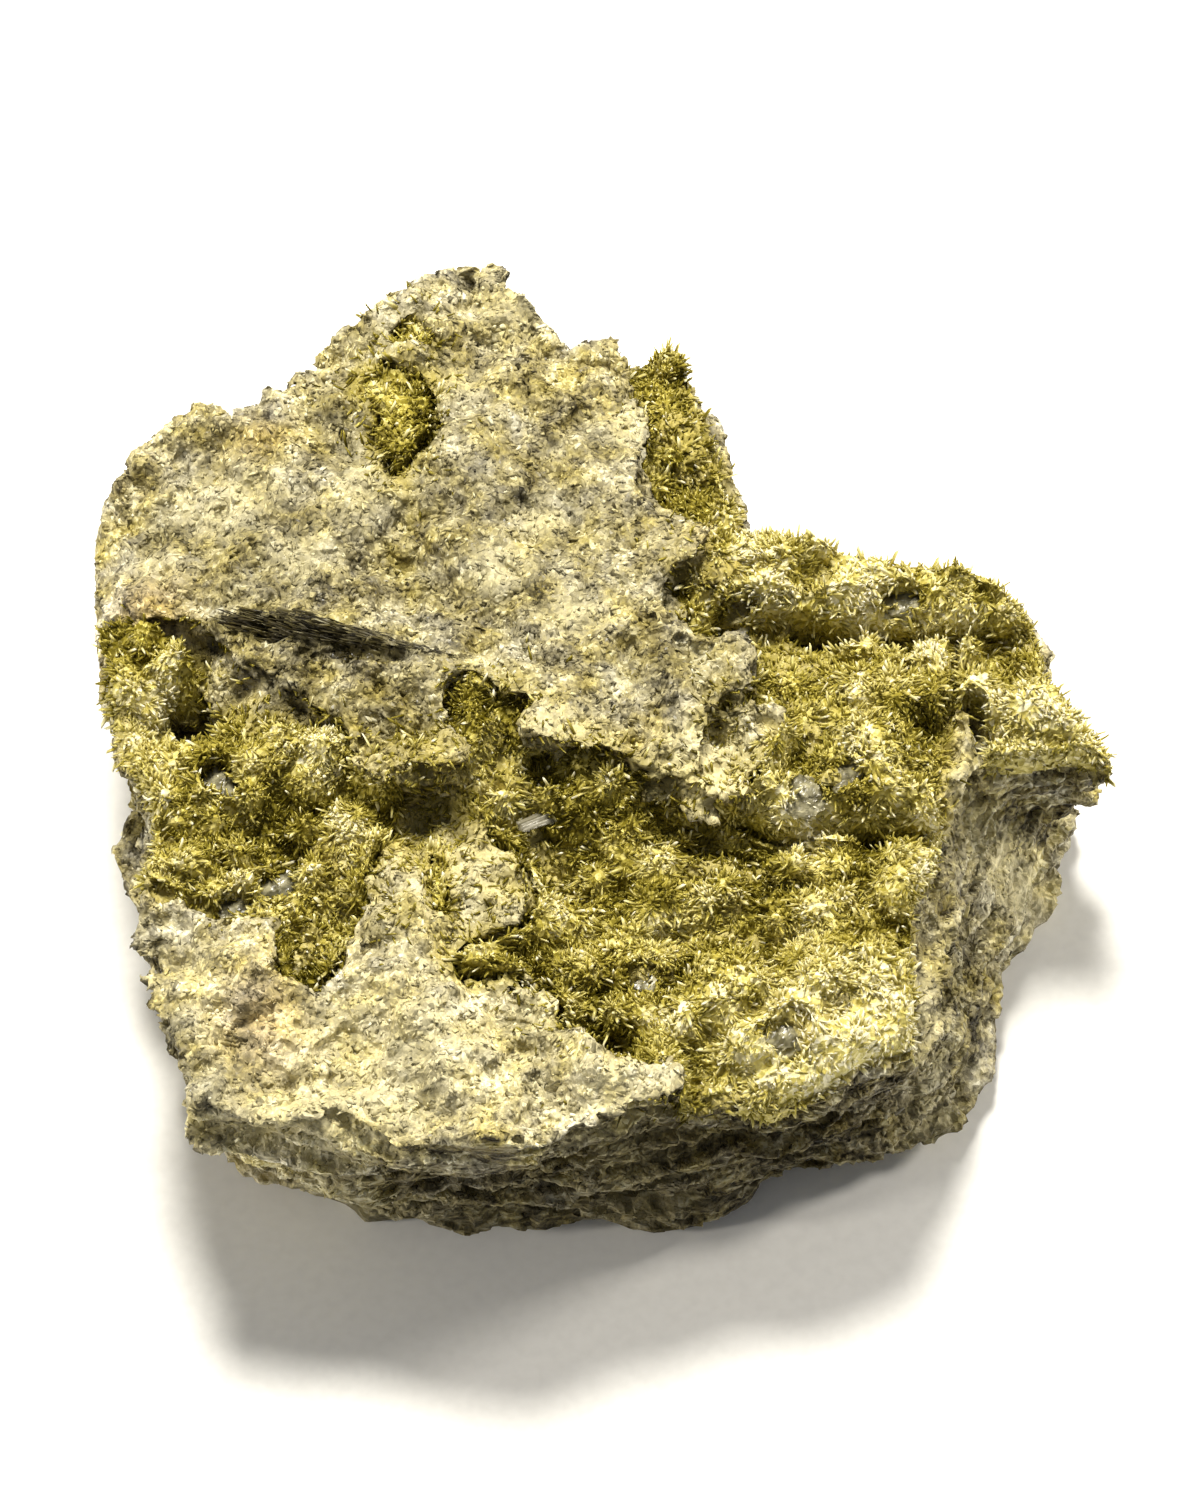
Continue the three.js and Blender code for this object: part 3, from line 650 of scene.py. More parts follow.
def noise_over(tree, scale, detail, **more):
    """Noise with so many waves to a millimetre, and finer ones in them."""
    place = object_millimetres(tree)
    inputs = {"Vector": place, "Scale": scale, "Detail": detail} | more
    return add_node(tree, "TexNoise", inputs).outputs[0]


def lamina_noise(tree):
    """Noise in flat, level sheets, from about -0.2 to 0.2 on the broken sides and 0 elsewhere."""
    place = object_millimetres(tree, LAMINA_MM)
    sheets = add_node(tree, "TexNoise", {"Vector": place, "Scale": 1, "Detail": 3})
    around_zero = calculate(tree, "SUBTRACT", sheets.outputs[0], 0.5)
    return calculate(tree, "MULTIPLY", around_zero, attribute(tree, "dark_side_and_shade"))


def grain_colour(tree, number):
    """Links that turn each grain's random number into its mineral, under the stains."""
    number = calculate(tree, "ADD", number, attribute(tree, "layer"))
    number = calculate(tree, "MULTIPLY_ADD", lamina_noise(tree), LAMINA_TONE, number)
    minerals = add_node(tree, "ValToRGB", {0: number}, stops=ROCK_GRAINS)
    hue = noise_over(tree, 1 / YELLOW_MM, 5, Roughness=0.65)
    greyest, yellowest = YELLOWNESS
    hues = {"Value": hue, "From Min": 0.35, "From Max": 0.65}
    saturations = {"To Min": greyest, "To Max": yellowest}
    yellowness = add_node(tree, "MapRange", hues | saturations).outputs[0]
    tinted = {"Color": minerals.outputs[0], "Saturation": yellowness}
    colour = add_node(tree, "HueSaturation", tinted).outputs[0]
    for stain, blend, tone in ROCK_STAINS:
        share = calculate(tree, "MULTIPLY", attribute(tree, stain), STAIN_STRENGTH.get(stain, 1.0))
        mixed = {"Factor": share, "A": colour, "B": linear(tone)}
        colour = add_node(tree, "Mix", mixed, data_type="RGBA", blend_type=blend).outputs[2]
    return colour


# %% the host rock's material
GRAINS_MM = [(1.0, 0.34), (0.5, 0.38), (0.22, 0.3)]  # size of the cells, and their share
GRAIN_MIDDLE = 0.01  # taken from every grain's number, so this much darker
PATCH_MM = 4.0  # the size of the patches in which one mineral is commoner
PATCH_SHARE = 1.3
GRAIN_WARP_MM = 0.9  # how far the grains' straight borders are bent
FACET_TILT = 0.6  # how far a grain's face leans from the skin it lies in
LAMINA_HEIGHT_MM = 1.2

rock_material, tree = new_material("calc_silicate_rock")
millimetres = object_millimetres(tree)
warp = add_node(tree, "TexNoise", {"Vector": millimetres, "Scale": 0.9, "Detail": 2})
bend = [warp.outputs["Color"], (GRAIN_WARP_MM,) * 3, millimetres]
warped = calculate(tree, "MULTIPLY_ADD", *bend, kind="VectorMath")
patches = add_node(tree, "TexNoise", {"Vector": millimetres, "Scale": 1 / PATCH_MM, "Detail": 4})
lowest = -0.5 * PATCH_SHARE - GRAIN_MIDDLE
lookup = calculate(tree, "MULTIPLY_ADD", patches.outputs[0], PATCH_SHARE, lowest)
for size, share in GRAINS_MM:
    cells = add_node(tree, "TexVoronoi", {"Vector": warped, "Scale": 1 / size})
    number = add_node(tree, "SeparateColor", {0: cells.outputs["Color"]}).outputs[0]
    lookup = calculate(tree, "MULTIPLY_ADD", number, share, lookup)
    if size == GRAINS_MM[1][0]:
        facets = cells
skin = add_node(tree, "NewGeometry").outputs["Normal"]
skin = calculate(tree, "SUBTRACT", skin, (FACET_TILT / 2,) * 3, kind="VectorMath")
lean = [facets.outputs["Color"], (FACET_TILT,) * 3, skin]
leaning = calculate(tree, "MULTIPLY_ADD", *lean, kind="VectorMath")
leaning = calculate(tree, "NORMALIZE", leaning, kind="VectorMath")
gloss = add_node(tree, "MapRange", {"Value": number, "To Min": 0.25, "To Max": 0.8}).outputs[0]
sheets = {"Height": lamina_noise(tree), "Distance": LAMINA_HEIGHT_MM * MM, "Normal": leaning}
sheeted = add_node(tree, "Bump", sheets).outputs[0]
rock_look = {"Base Color": grain_colour(tree, lookup), "Roughness": gloss, "Normal": sheeted}
show_surface(tree, rock_look | {"Specular IOR Level": ROCK_SPECULAR})


def finish_piece(piece, node, material):
    piece.data.materials.append(material)
    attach(piece, "root")
    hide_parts(node)


finish_piece(rock, "host_rock", rock_material)

# %% [markdown]
# Single grains stand out of a broken face with crisp edges and throw tiny shadows, and a
# displaced skin is too soft to show that. So about 35,000 loose-looking chips are set
# into it. One small template of eight corners is stretched, turned, shaken out of shape
# and placed for every chip, all as arrays, and the copies become one mesh.

# %% helpers for small crystals and chips
random = np.random.default_rng(7)


def scatter_on(piece, count, chance_of, also=None):
    """Random places on a piece, their normals, and the area they stand for in mm2.

    chance_of takes the middles of the triangles and their normals, and gives each
    triangle's chance per area. also is one more value of each corner, wanted there too.
    """
    mesh = piece.data
    mesh.calc_loop_triangles()
    corners = np.empty(3 * len(mesh.loop_triangles), np.int32)
    mesh.loop_triangles.foreach_get("vertices", corners)
    places, normals = places_of(piece), normals_of(piece)
    corners = corners.reshape(-1, 3)
    a, b, c = places[corners].transpose(1, 0, 2)
    cross = np.cross(b - a, c - a)
    area = np.linalg.norm(cross, axis=1) / 2
    chance = area * chance_of((a + b + c) / 3, unit(cross))
    chosen = random.choice(len(area), count, p=chance / chance.sum())
    u, v = random.random((2, count, 1))
    over = u + v > 1
    u, v = np.where(over, 1 - u, u), np.where(over, 1 - v, v)
    i, j, k = corners[chosen].T
    at = (1 - u - v) * places[i] + u * places[j] + v * places[k]
    facing = (1 - u - v) * normals[i] + u * normals[j] + v * normals[k]
    found = None if also is None else also[i]
    return at, unit(facing), chance.sum() / MM**2, found


def unit(vectors):
    return vectors / np.maximum(np.linalg.norm(vectors, axis=-1, keepdims=True), 1e-12)


def copies_of(template, roots, axis, size, out=None):
    """The corners of each copy: its template stretched by size and turned to its axis.

    out is the direction of the template's y, as far as the axis allows, or random.
    """
    out = random.normal(size=axis.shape) if out is None else out
    across = unit(np.cross(axis, out))
    third = np.cross(axis, across)
    turned = np.stack([across, third, axis], axis=1)
    return roots[:, None] + np.einsum("npk,nkd->npd", template * size[:, None], turned)


def mesh_of_copies(name, corners, faces, values):
    """One mesh from the corners of each copy (copies, points, 3), with its attributes."""
    copies, points = corners.shape[:2]
    corners = np.clip(corners, cad_box[0], cad_box[1])
    one = np.concatenate(faces)
    loops = (one + points * np.arange(copies)[:, None]).ravel()
    starts = np.concatenate([[0], np.cumsum([len(f) for f in faces])[:-1]])
    mesh = bpy.data.meshes.new(name)
    mesh.vertices.add(copies * points)
    mesh.vertices.foreach_set("co", corners.astype(np.float32).ravel())
    mesh.loops.add(len(loops))
    mesh.loops.foreach_set("vertex_index", loops.astype(np.int32))
    mesh.polygons.add(copies * len(faces))
    first = (starts + len(one) * np.arange(copies)[:, None]).ravel()
    mesh.polygons.foreach_set("loop_start", first.astype(np.int32))
    mesh.update(calc_edges=True)
    piece = bpy.data.objects.new(name, mesh)
    bpy.context.scene.collection.objects.link(piece)
    for key, value in values.items():
        paint(piece, key, value.ravel())
    return piece


# %% chips of rock
CHIP_POINTS = np.array(
    [
        (-1.0, -0.8, -0.7), (1.0, -1.0, -0.7), (0.9, 0.9, -0.7), (-0.9, 1.0, -0.7),
        (-0.6, -0.5, 0.5), (0.8, -0.4, 0.9), (0.5, 0.6, 0.7), (-0.7, 0.4, 0.2),
    ]
)
CHIP_FACES = [
    *([3, 2, 1], [3, 1, 0], [4, 5, 6], [4, 6, 7], [0, 1, 5], [0, 5, 4]),
    *([1, 2, 6], [1, 6, 5], [2, 3, 7], [2, 7, 6], [3, 0, 4], [3, 4, 7]),
]
PLATEAU_CHIPS = 10_500  # in each of the pieces of chips on the plateaus
SIDE_CHIPS = 6_000
CHIPPED_TOPS = (0.25, 0.6)  # how far up a face looks, from no chips to all
LOWEST_SLIVER_MM = 3
BARE_MM = 0.3  # a chip nearer than this to a crust is left out
CHIP_SHAKE = 0.22  # how far a chip's corners are moved, as a share of its half size
CHIP_TURN = 0.3  # how far a chip turns at random, in its own plane
CHIP_SINK = 0.1
SMALL_CHIPS = 1.6  # the more this is above 1, the more of the chips are small
CHIP_MINERAL = (0.5, 0.2)  # the middle and the spread of the numbers for their minerals


def on_the_plateaus(middles, normals):
    return ramp(normals[:, 2], *CHIPPED_TOPS) * (middles[:, 2] > LOWEST_TOP_MM * MM)


def on_the_broken_sides(middles, normals):
    outward = ramp(normals[:, 2], *TOP_TO_SIDE) * (normals[:, 2] > UNDERSIDE_TO_SIDE[1])
    return outward * (middles[:, 2] > LOWEST_SLIVER_MM * MM)


def make_chips(name, number, where, flat_axis, width_axis, size_mm, tilt):
    """Chips on the rock, each thin along flat_axis and with its width along width_axis."""
    roots, facing, area, _ = scatter_on(rock, number, where)
    distance, above, _ = nearest_crust(roots)
    bare = distance > BARE_MM
    roots, facing, distance, above = roots[bare], facing[bare], distance[bare], above[bare]
    count = len(roots)
    leaning = flat_axis(facing) + tilt * random.normal(size=(count, 3))
    low, high = np.array(size_mm).T
    size = MM * (low + (high - low) * random.random((count, 3)) ** SMALL_CHIPS) / 2
    shaken = CHIP_POINTS + CHIP_SHAKE * random.normal(size=(count, *CHIP_POINTS.shape))
    out = width_axis + random.normal(size=(count, 3)) * CHIP_TURN
    sunk = roots - CHIP_SINK * size[:, 2:] * facing
    corners = copies_of(shaken, sunk, unit(leaning), size, out)
    stains = rock_stains(roots, facing, distance, above)
    points = np.ones((1, len(CHIP_POINTS)))
    values = {key: amount[:, None] * points for key, amount in stains.items()}
    values["mineral"] = np.clip(random.normal(*CHIP_MINERAL, (count, 1)), 0, 1) * points
    piece = mesh_of_copies(name, corners, CHIP_FACES, values)
    print(f"{name}: {count} chips, {triangle_count(piece)} triangles on {area:.0f} mm2")
    return piece


# %% flakes on the plateaus, and slivers on the sides
PLATEAU_FLAKE_MM = [(0.33, 1.15), (0.27, 0.77), (0.08, 0.23)]  # length, width, thickness
PLATEAU_TILT = 0.26
SIDE_SLIVER_MM = [(0.25, 0.9), (0.16, 0.5), (0.05, 0.15)]
SIDE_TILT = 0.2
ALONG_THE_LAYERS = 0.4  # how far a sliver lies in its layer, against in the skin
chip_pieces = [
    make_chips(
        f"host_rock_plateau_chips_{layer}",
        PLATEAU_CHIPS,
        on_the_plateaus,
        lambda facing: facing,
        0,
        PLATEAU_FLAKE_MM,
        PLATEAU_TILT,
    )
    for layer in (1, 2, 3)
]
chip_pieces.append(
    make_chips(
        "host_rock_side_slivers",
        SIDE_CHIPS,
        on_the_broken_sides,
        lambda facing: ALONG_THE_LAYERS * LAYER_NORMAL + facing,
        LAYER_NORMAL,
        SIDE_SLIVER_MM,
        SIDE_TILT,
    )
)

# %% [markdown]
# A gash runs across the upper plateau where a bundle of dark, fibrous amphibole was torn
# out. What is left of it lies in the gash as long, thin splinters, all in one direction.
# They are near black, partly for their mineral and partly as painted shadow deep in the gash.

# %% splinters in the gash
GASH_LINE_MM = [(-37.0, 8.4), (-30.0, 6.2), (-15.5, 2.2)]
GASH_LINE_SHARES = [0, 0.4, 1]  # how far along the gash each of these points is
GASH_WIDTH_MM = [(0, 0.5), (0.2, 1.15), (0.5, 0.85), (0.75, 0.4), (1, 0.08)]  # share along it
SPLINTERS = 700
SPLINTER_RISE_MM = (-0.1, 0.7)  # above the gash's floor
HIGHEST_FLOOR = 80  # none is higher than the floor under this percentage of them
SPLINTER_MM = [(0.1, 0.28), (0.06, 0.18), (1.2, 5.0)]
SHORT_SPLINTERS = 1.5  # the more this is above 1, the more of them are short
SPLINTER_ASIDE = (0.5, 1.2)  # the usual and the furthest, as shares of the gash's width
SPLINTER_LEAN = 0.11
SPLINTER_SHAKE = 0.12
# near black: a dark mineral, and painted shadow deep in the gash
SPLINTER_BLACK = (0.7, 1)
SPLINTER_MINERAL = (0.1, 0.9)

rock_tree = tree_of([rock])[0]


def make_splinters():
    line = np.array(GASH_LINE_MM)
    share = random.random(SPLINTERS)
    at = np.stack([np.interp(share, GASH_LINE_SHARES, line[:, axis]) for axis in (0, 1)], axis=1)
    width = np.interp(share, *np.array(GASH_WIDTH_MM).T)
    usual, furthest = SPLINTER_ASIDE
    at[:, 1] += np.clip(random.normal(0, usual, SPLINTERS), -furthest, furthest) * width
    above = [Vector((MM * x, MM * y, cad_box[1][2] + MM)) for x, y in at.tolist()]
    floors = [rock_tree.ray_cast(start, Vector((0, 0, -1)))[0].z for start in above]
    height = np.array(floors) / MM + random.uniform(*SPLINTER_RISE_MM, SPLINTERS)
    height = np.minimum(height, np.percentile(floors, HIGHEST_FLOOR) / MM)
    roots = MM * np.column_stack([at, height])
    along = unit(np.array([[line[2, 0] - line[0, 0], line[2, 1] - line[0, 1], 0.0]]))
    axis = unit(along + SPLINTER_LEAN * random.normal(size=(SPLINTERS, 3)))
    low, high = np.array(SPLINTER_MM).T
    size = MM * (low + (high - low) * random.random((SPLINTERS, 3)) ** SHORT_SPLINTERS) / 2
    shaken = CHIP_POINTS + SPLINTER_SHAKE * random.normal(size=(SPLINTERS, *CHIP_POINTS.shape))
    corners = copies_of(shaken, roots, axis, size)
    points = np.ones((1, len(CHIP_POINTS)))
    values = {"dark_and_shaded": random.uniform(*SPLINTER_BLACK, (SPLINTERS, 1)) * points}
    values["mineral"] = random.uniform(*SPLINTER_MINERAL, (SPLINTERS, 1)) * points
    return mesh_of_copies("host_rock_gash_splinters", corners, CHIP_FACES, values)


chip_pieces.append(make_splinters())

# %% [markdown]
# Each chip is one grain, or a few, so it has one number of its own for its mineral. The
# same patches, sheets and stains as the rock's change it, so that it belongs where it lies.

# %% the chips' material
SPECKLE_SHARE = 0.3
chip_material, tree = new_material("calc_silicate_grains")
mineral = attribute(tree, "mineral")
speckle = noise_over(tree, 3.0, 2)
patches = noise_over(tree, 1 / PATCH_MM, 3)
both = calculate(tree, "MULTIPLY_ADD", patches, PATCH_SHARE, mineral)
lookup = calculate(tree, "MULTIPLY_ADD", speckle, SPECKLE_SHARE, both)
on_average = 0.5 * SPECKLE_SHARE + 0.5 * PATCH_SHARE
lookup = calculate(tree, "SUBTRACT", lookup, on_average)
chip_look = {"Base Color": grain_colour(tree, lookup), "Roughness": 0.4}
show_surface(tree, chip_look | {"Specular IOR Level": ROCK_SPECULAR})
for piece in chip_pieces:
    finish_piece(piece, "host_rock", chip_material)

# %% [markdown]
# ## The druse
# Each crust starts from its CAD solid, whose top is where the needle tips reach. Sunk by
# up to three millimetres and swollen into cushions, it becomes the mass of intergrown
# crystal bases. The needles then stand on it, so that their tips end about where the
# solid did. Its underside goes down with it, into the rock, so it stays a closed body.

# %% the crusts
CRUST_VOXEL_MM = 0.34
CRUST_SINK_MM = 3.0
BORDER_SINK_MM = 0.7
BORDER_MM = (0.6, 3.4)  # how near to the bare rock counts as the border
UNDERSIDE_SINK_MM = 2.5
UNDERSIDE = -0.3  # a face that looks further down than this is the underside
SIDE_TO_TOP = (0.1, 0.6)  # how far up a face looks, from a crust's side to its top
HOLLOW_SINK_MM = 0.5
HOLLOW_HEIGHT = 0.5  # how high the cushions in a hollow are, beside those outside
HOLLOWS = ("druse_back_vug", "druse_tall_vug", "druse_saddle_slot")
KNOBS_MM = (2.2, 1.2)  # size and height
STUBS_MM = (0.8, 0.5)
CUSHION_MM2 = 9.0  # the area that each cushion has to itself
CUSHION_RADIUS_MM = (1.6, 4.0)
CUSHION_HEIGHT_MM = (1.0, 4.0)
BANK_TOP = (-0.6, -0.1)  # a bank lifts the top and the sides of its crust
BANK_SIDE = (0.6, 0.2)
BANK_SPREAD_MM = 1.8  # how far a bank's edge reaches into the lip
BANKED_UP = [  # crystals heaped against the lips: x, y, radius along x and y, height (mm)
    (-8, -4, 4, 2.6, 3.2), (-2, -6, 4, 2.4, 3.2), (3.5, -8.5, 3.5, 2.4, 3.0),
    (8, -11.5, 3, 2.2, 2.4), (-12, 0.5, 3.5, 4, 2.6), (-28, -6.5, 6, 2.5, 2.2),
    (-45, 9, 4, 2.5, 2.0),
]
knobs = pattern("knobs", "VORONOI", KNOBS_MM[0], weight_1=-1, weight_2=1)
stubs = pattern("stubs", "VORONOI", STUBS_MM[0], color_mode="POSITION")
rise_of = {}  # for each crust, how many mm each of its corners was raised


def cushions_over(places_mm):
    """How high the rounded cushions of crystals stand at each place, in mm."""
    low, high = places_mm.min(axis=0), places_mm.max(axis=0)
    spread = (high - low)[:2]
    number = max(3, round(float(np.prod(spread)) / CUSHION_MM2))
    middles = low[:2] + spread * random.random((number, 2))
    radii = random.uniform(*CUSHION_RADIUS_MM, number)
    heights = random.uniform(*CUSHION_HEIGHT_MM, number)
    rise = np.zeros(len(places_mm))
    for middle, radius, height in zip(middles, radii, heights):
        apart = ((places_mm[:, :2] - middle) ** 2).sum(axis=1) / radius**2
        rise = np.maximum(rise, height * np.sqrt(np.maximum(1 - apart, 0)))
    return rise


def make_crust(node):
    piece = copy_of_solid(node, node + "_crust")
    apply_modifier(piece, "REMESH", mode="VOXEL", voxel_size=CRUST_VOXEL_MM * MM)
    facing = normals_of(piece)
    up = facing[:, 2]
    places = places_of(piece)
    hollow = node in HOLLOWS
    to_rock = [host_tree.find_nearest(Vector(p))[3] / MM for p in places.tolist()]
    border = 1 - ramp(np.array(to_rock), *BORDER_MM)
    sink = CRUST_SINK_MM + (BORDER_SINK_MM - CRUST_SINK_MM) * border
    sink = np.where(hollow, HOLLOW_SINK_MM, sink)
    places[:, 2] -= MM * np.where(up < UNDERSIDE, UNDERSIDE_SINK_MM, sink)
    move_to(piece, places)
    top_share = ramp(up, *SIDE_TO_TOP)
    top = weigh(piece, "top", top_share)
    height = HOLLOW_HEIGHT if hollow else 1
    cushioned = places.copy()
    banks = patch_strength(places / MM, BANKED_UP)
    cushions = height * cushions_over(places / MM) * top_share
    cushioned[:, 2] += MM * np.maximum(cushions, banks * ramp(up, *BANK_TOP))
    spreading = BANK_SPREAD_MM * np.minimum(banks, 1) * ramp(np.abs(up), *BANK_SIDE)
    cushioned[:, :2] += MM * spreading[:, None] * facing[:, :2]
    move_to(piece, cushioned)
    apply_modifier(piece, "SMOOTH", factor=0.5, iterations=2, vertex_group=top)
    displace(piece, knobs, KNOBS_MM[1] * height, top)
    displace(piece, stubs, STUBS_MM[1], top)
    piece.vertex_groups.clear()
    rise_of[node] = (places_of(piece) - places)[:, 2] / MM
    move_to(piece, kept_inside(places_of(piece)))
    return piece


host_tree = tree_of([frame["nodes"]["host_rock"]])[0]
crust_pieces = {node: make_crust(node) for node in DRUSES}
print("crusts:", {n: triangle_count(p) for n, p in crust_pieces.items()})
for node, rise in rise_of.items():
    print(f"{node}: cushions rise {np.percentile(rise, 5):.1f} to {np.percentile(rise, 95):.1f} mm")

# %% [markdown]
# Clinozoisite in a druse is translucent and olive to honey yellow, with a glassy gloss.
# Where the needles stand close it looks dark between them, and the crests look nearly
# cream. The pale places below give that: some are the druse's own paler colour, and the
# rest is painted light and shade, each crest painted paler the higher it rises and each
# hollow darker.

# %% where the druse is paler: x, y, radius along x, radius along y (mm), strength
CREST_PAINTED_LIGHT = 0.12  # painted light: how much paler a crest is painted, for each mm that it rises
PALE_WAVES = [(6.0, 0.4), (2.2, 0.25)]  # size in mm, share
DRUSE_PALE_PATCHES = [
    (22, -37, 10, 5.5, 0.95), (13, -36, 4, 3, 0.3), (6, -34, 3, 2.5, 0.4), (20, -13, 4, 4, 0.5),
    (22, -4, 8, 5, 0.12), (29, -21, 4, 2, 0.3), (32.5, -14, 1.4, 8, 0.3), (35, 6, 7, 3, 0.35),
    (24, 12, 12, 6, 0.36), (14, 17, 5, 4, 0.2), (-16, -16, 4, 4, 0.4), (-44, 0, 5, 5, 0.35),
    (8, 36, 4, 8, 0.12), (-40, -16, 5, 4, 0.15), (42, -1, 7, 5, 0.4), (44, -7, 7, 1.8, 0.7),
    (-24, -13, 4, 4, 0.2), (-22, 34, 3.5, 7, 0.3),
]


def paleness_at(places, rise):
    """How much paler than a hollow the druse is at each place that rises so many mm; the share from
    the rise is painted light.
    """
    waves = sum(share * noise_of(places / MM / size) for size, share in PALE_WAVES)
    return waves + CREST_PAINTED_LIGHT * rise + patch_strength(places / MM, DRUSE_PALE_PATCHES)


# %% the crust's material
STUB_COLOUR_MM = 0.6  # the size of the crystal bases that differ in tone
STUB_TONE = 0.4
STUB_BUMP_MM = 0.3
CRUST_LIGHTER = 0.08
CRUST_PALEST = 0.58
CRUST_TONES = [
    (0.00, "#352e08"),
    (0.25, "#716619"),
    (0.50, "#ab9e44"),
    (0.75, "#d5ca80"),
    (1.00, "#fbf6da"),
]
HONEY_GLOSS = "#e6d98c"  # the gloss is tinted, because light comes back through the crystal
CRYSTAL_GLOSS = {"IOR": 1.7, "Specular Tint": linear(HONEY_GLOSS)}
crust_material, tree = new_material("clinozoisite_crust")
millimetres = object_millimetres(tree)
cells = add_node(tree, "TexVoronoi", {"Vector": millimetres, "Scale": 1 / STUB_COLOUR_MM})
number = add_node(tree, "SeparateColor", {0: cells.outputs["Color"]}).outputs[0]
lookup = calculate(tree, "MULTIPLY_ADD", number, STUB_TONE, attribute(tree, "paleness"))
tones = add_node(tree, "ValToRGB", {0: lookup}, stops=CRUST_TONES)
bumps = {"Height": cells.outputs["Distance"], "Strength": 0.7, "Distance": STUB_BUMP_MM * MM}
crust_bump = add_node(tree, "Bump", bumps).outputs[0]
crust_look = {"Base Color": tones.outputs[0], "Roughness": 0.35, "Normal": crust_bump}
show_surface(tree, CRYSTAL_GLOSS | crust_look)
for node, piece in crust_pieces.items():
    paleness = paleness_at(places_of(piece), rise_of[node]) + CRUST_LIGHTER
    paint(piece, "paleness", np.minimum(paleness, CRUST_PALEST))
    finish_piece(piece, node, crust_material)

# %% [markdown]
# A needle is a flattened four-sided prism with a slanted end, as these crystals have. It
# has only twelve triangles, because about 47,000 are built as arrays from one template.
# They grow in sprays: each spray has a centre just under the crust, and each needle leans
# away from the nearest centre, with some scatter. Almost a third of them grow on the rock
# beside a crust and under the lips, which hides the crusts' edges.

# %% the template of a needle
NEEDLE_RING = [(1, 0.15), (-0.15, 1), (-1, -0.15), (0.15, -1)]
NEEDLE_END = [(0.5, 0.1, 1.0), (-0.1, 0.6, 0.93), (-0.75, -0.1, 0.8), (0.1, -0.65, 0.87)]
NEEDLE_POINTS = np.array([(x, y, 0.0) for x, y in NEEDLE_RING] + NEEDLE_END)
NEEDLE_FACES = (
    [[3, 2, 1, 0]]
    + [[i, (i + 1) % 4, 4 + (i + 1) % 4, 4 + i] for i in range(4)]
    + [[4, 5, 6], [4, 6, 7]]
)

# %% where needles grow
NEEDLES_PER_MM2 = 8
NEEDLED = (-0.2, 0.35)  # how far up a crust's face looks, from no needles to all
THICKET_MM = 3.0  # the size of the places where the needles stand close
THICKET_EDGE = (-0.25, 0.1)
SPARSEST = 0.5  # how close they stand between those places
PALE_THINNING = 0.6  # at most this share of the needles is missing where the druse is pale
FRINGE_NEEDLED = (-0.7, 0.0)  # as NEEDLED, for the rock beside and above a crust
FRINGE_TRIES = 110_000
FRINGE_NEEDLES = 14_000
FRINGE_MM = 0.6  # how far from the crust they usually reach
THIN_DRUSE_MM = 7.0  # how far into a patch of thin druse
THIN_DRUSE_SHARE = 0.45
UNDER_LIP_MM = 3.4  # how far up under a lip
UNDER_LIP = (-0.2, 0.5)  # from this far above the crust
STEEP = (0.5, 0.1)
OUTER_THINNING = 0.85  # how much shorter they reach on the outer sides
TOUCHING_MM = 0.05


def where_needles_grow(middles, normals):
    close_standing = ramp(noise_of(middles / MM / THICKET_MM), *THICKET_EDGE)
    pale = np.minimum(patch_strength(middles / MM, DRUSE_PALE_PATCHES), PALE_THINNING)
    density = SPARSEST + (1 - SPARSEST) * close_standing
    return ramp(normals[:, 2], *NEEDLED) * density * (1 - pale)


def beside_the_crusts(middles, normals):
    return ramp(normals[:, 2], *FRINGE_NEEDLED) * (middles[:, 2] > LOWEST_TOP_MM * MM)


fringe, fringe_facing, _, _ = scatter_on(rock, FRINGE_TRIES, beside_the_crusts)
fringe_distance, fringe_above, fringe_owner = nearest_crust(fringe)
thin_druse = patch_strength(fringe / MM, THIN_DRUSE_PATCHES)
reach = random.exponential(FRINGE_MM, len(fringe))
reach += THIN_DRUSE_MM * (random.random(len(fringe)) < THIN_DRUSE_SHARE * thin_druse)
reach += UNDER_LIP_MM * ramp(fringe_facing[:, 2], *STEEP) * ramp(fringe_above, *UNDER_LIP)
bare_side = outer_share(fringe_facing, fringe_above) * (1 - np.minimum(thin_druse, 1))
reach *= 1 - OUTER_THINNING * bare_side
close = np.flatnonzero(fringe_distance < reach)
close = close[fringe_distance[close] > TOUCHING_MM][:FRINGE_NEEDLES]
print("needles on bare rock:", len(close))

# %% the needles
MOST_NEEDLES = 16_000  # in one piece, which keeps each piece under 200,000 triangles
SPRAY_MM2 = 5
SPRAY_DEPTH_MM = (0.2, 1.5)
FRINGE_RISE_MM = 0.3
UPRIGHT = 0.15  # how far a needle turns from its spray's fan towards the crust's normal
NEEDLE_SCATTER = 0.5
LEAST_UPRIGHT = (0.15, 0.5)  # one that lies flatter than the first is raised to the second
SHORTEST_MM, LENGTH_RANGE_MM = 0.55, 0.8
SHORT_NEEDLES = 1.5  # the more this is above 1, the more of them are short
LONG_NEEDLES = 0.12  # the share of needles that stand out above the rest
LONG_EXTRA_MM = (0.3, 0.9)
GLINTS = 0.05  # the share of needles painted nearly white, as painted glints
GLINT_EXTRA_MM = (0.2, 0.7)
GLINT_WIDER_MM = 0.05
HALF_WIDTH_MM = (0.11, 0.24)
FLATTENED = 0.65  # a needle's thickness, as a share of its width
FOOT_MM = 0.25  # how deep it stands in the crust
SPRAY_TINT = (0.33, 0.07)  # the middle and the spread of the sprays' paleness
NEEDLE_TINT_SPREAD = 0.06
GLINT_TINT = (0.85, 1.15)
TINT_RANGE = (0.05, 1.2)
SHADED_FOOT_TINT = 0.48  # a foot's paleness, as a share of its tip's: painted shade where the needles crowd


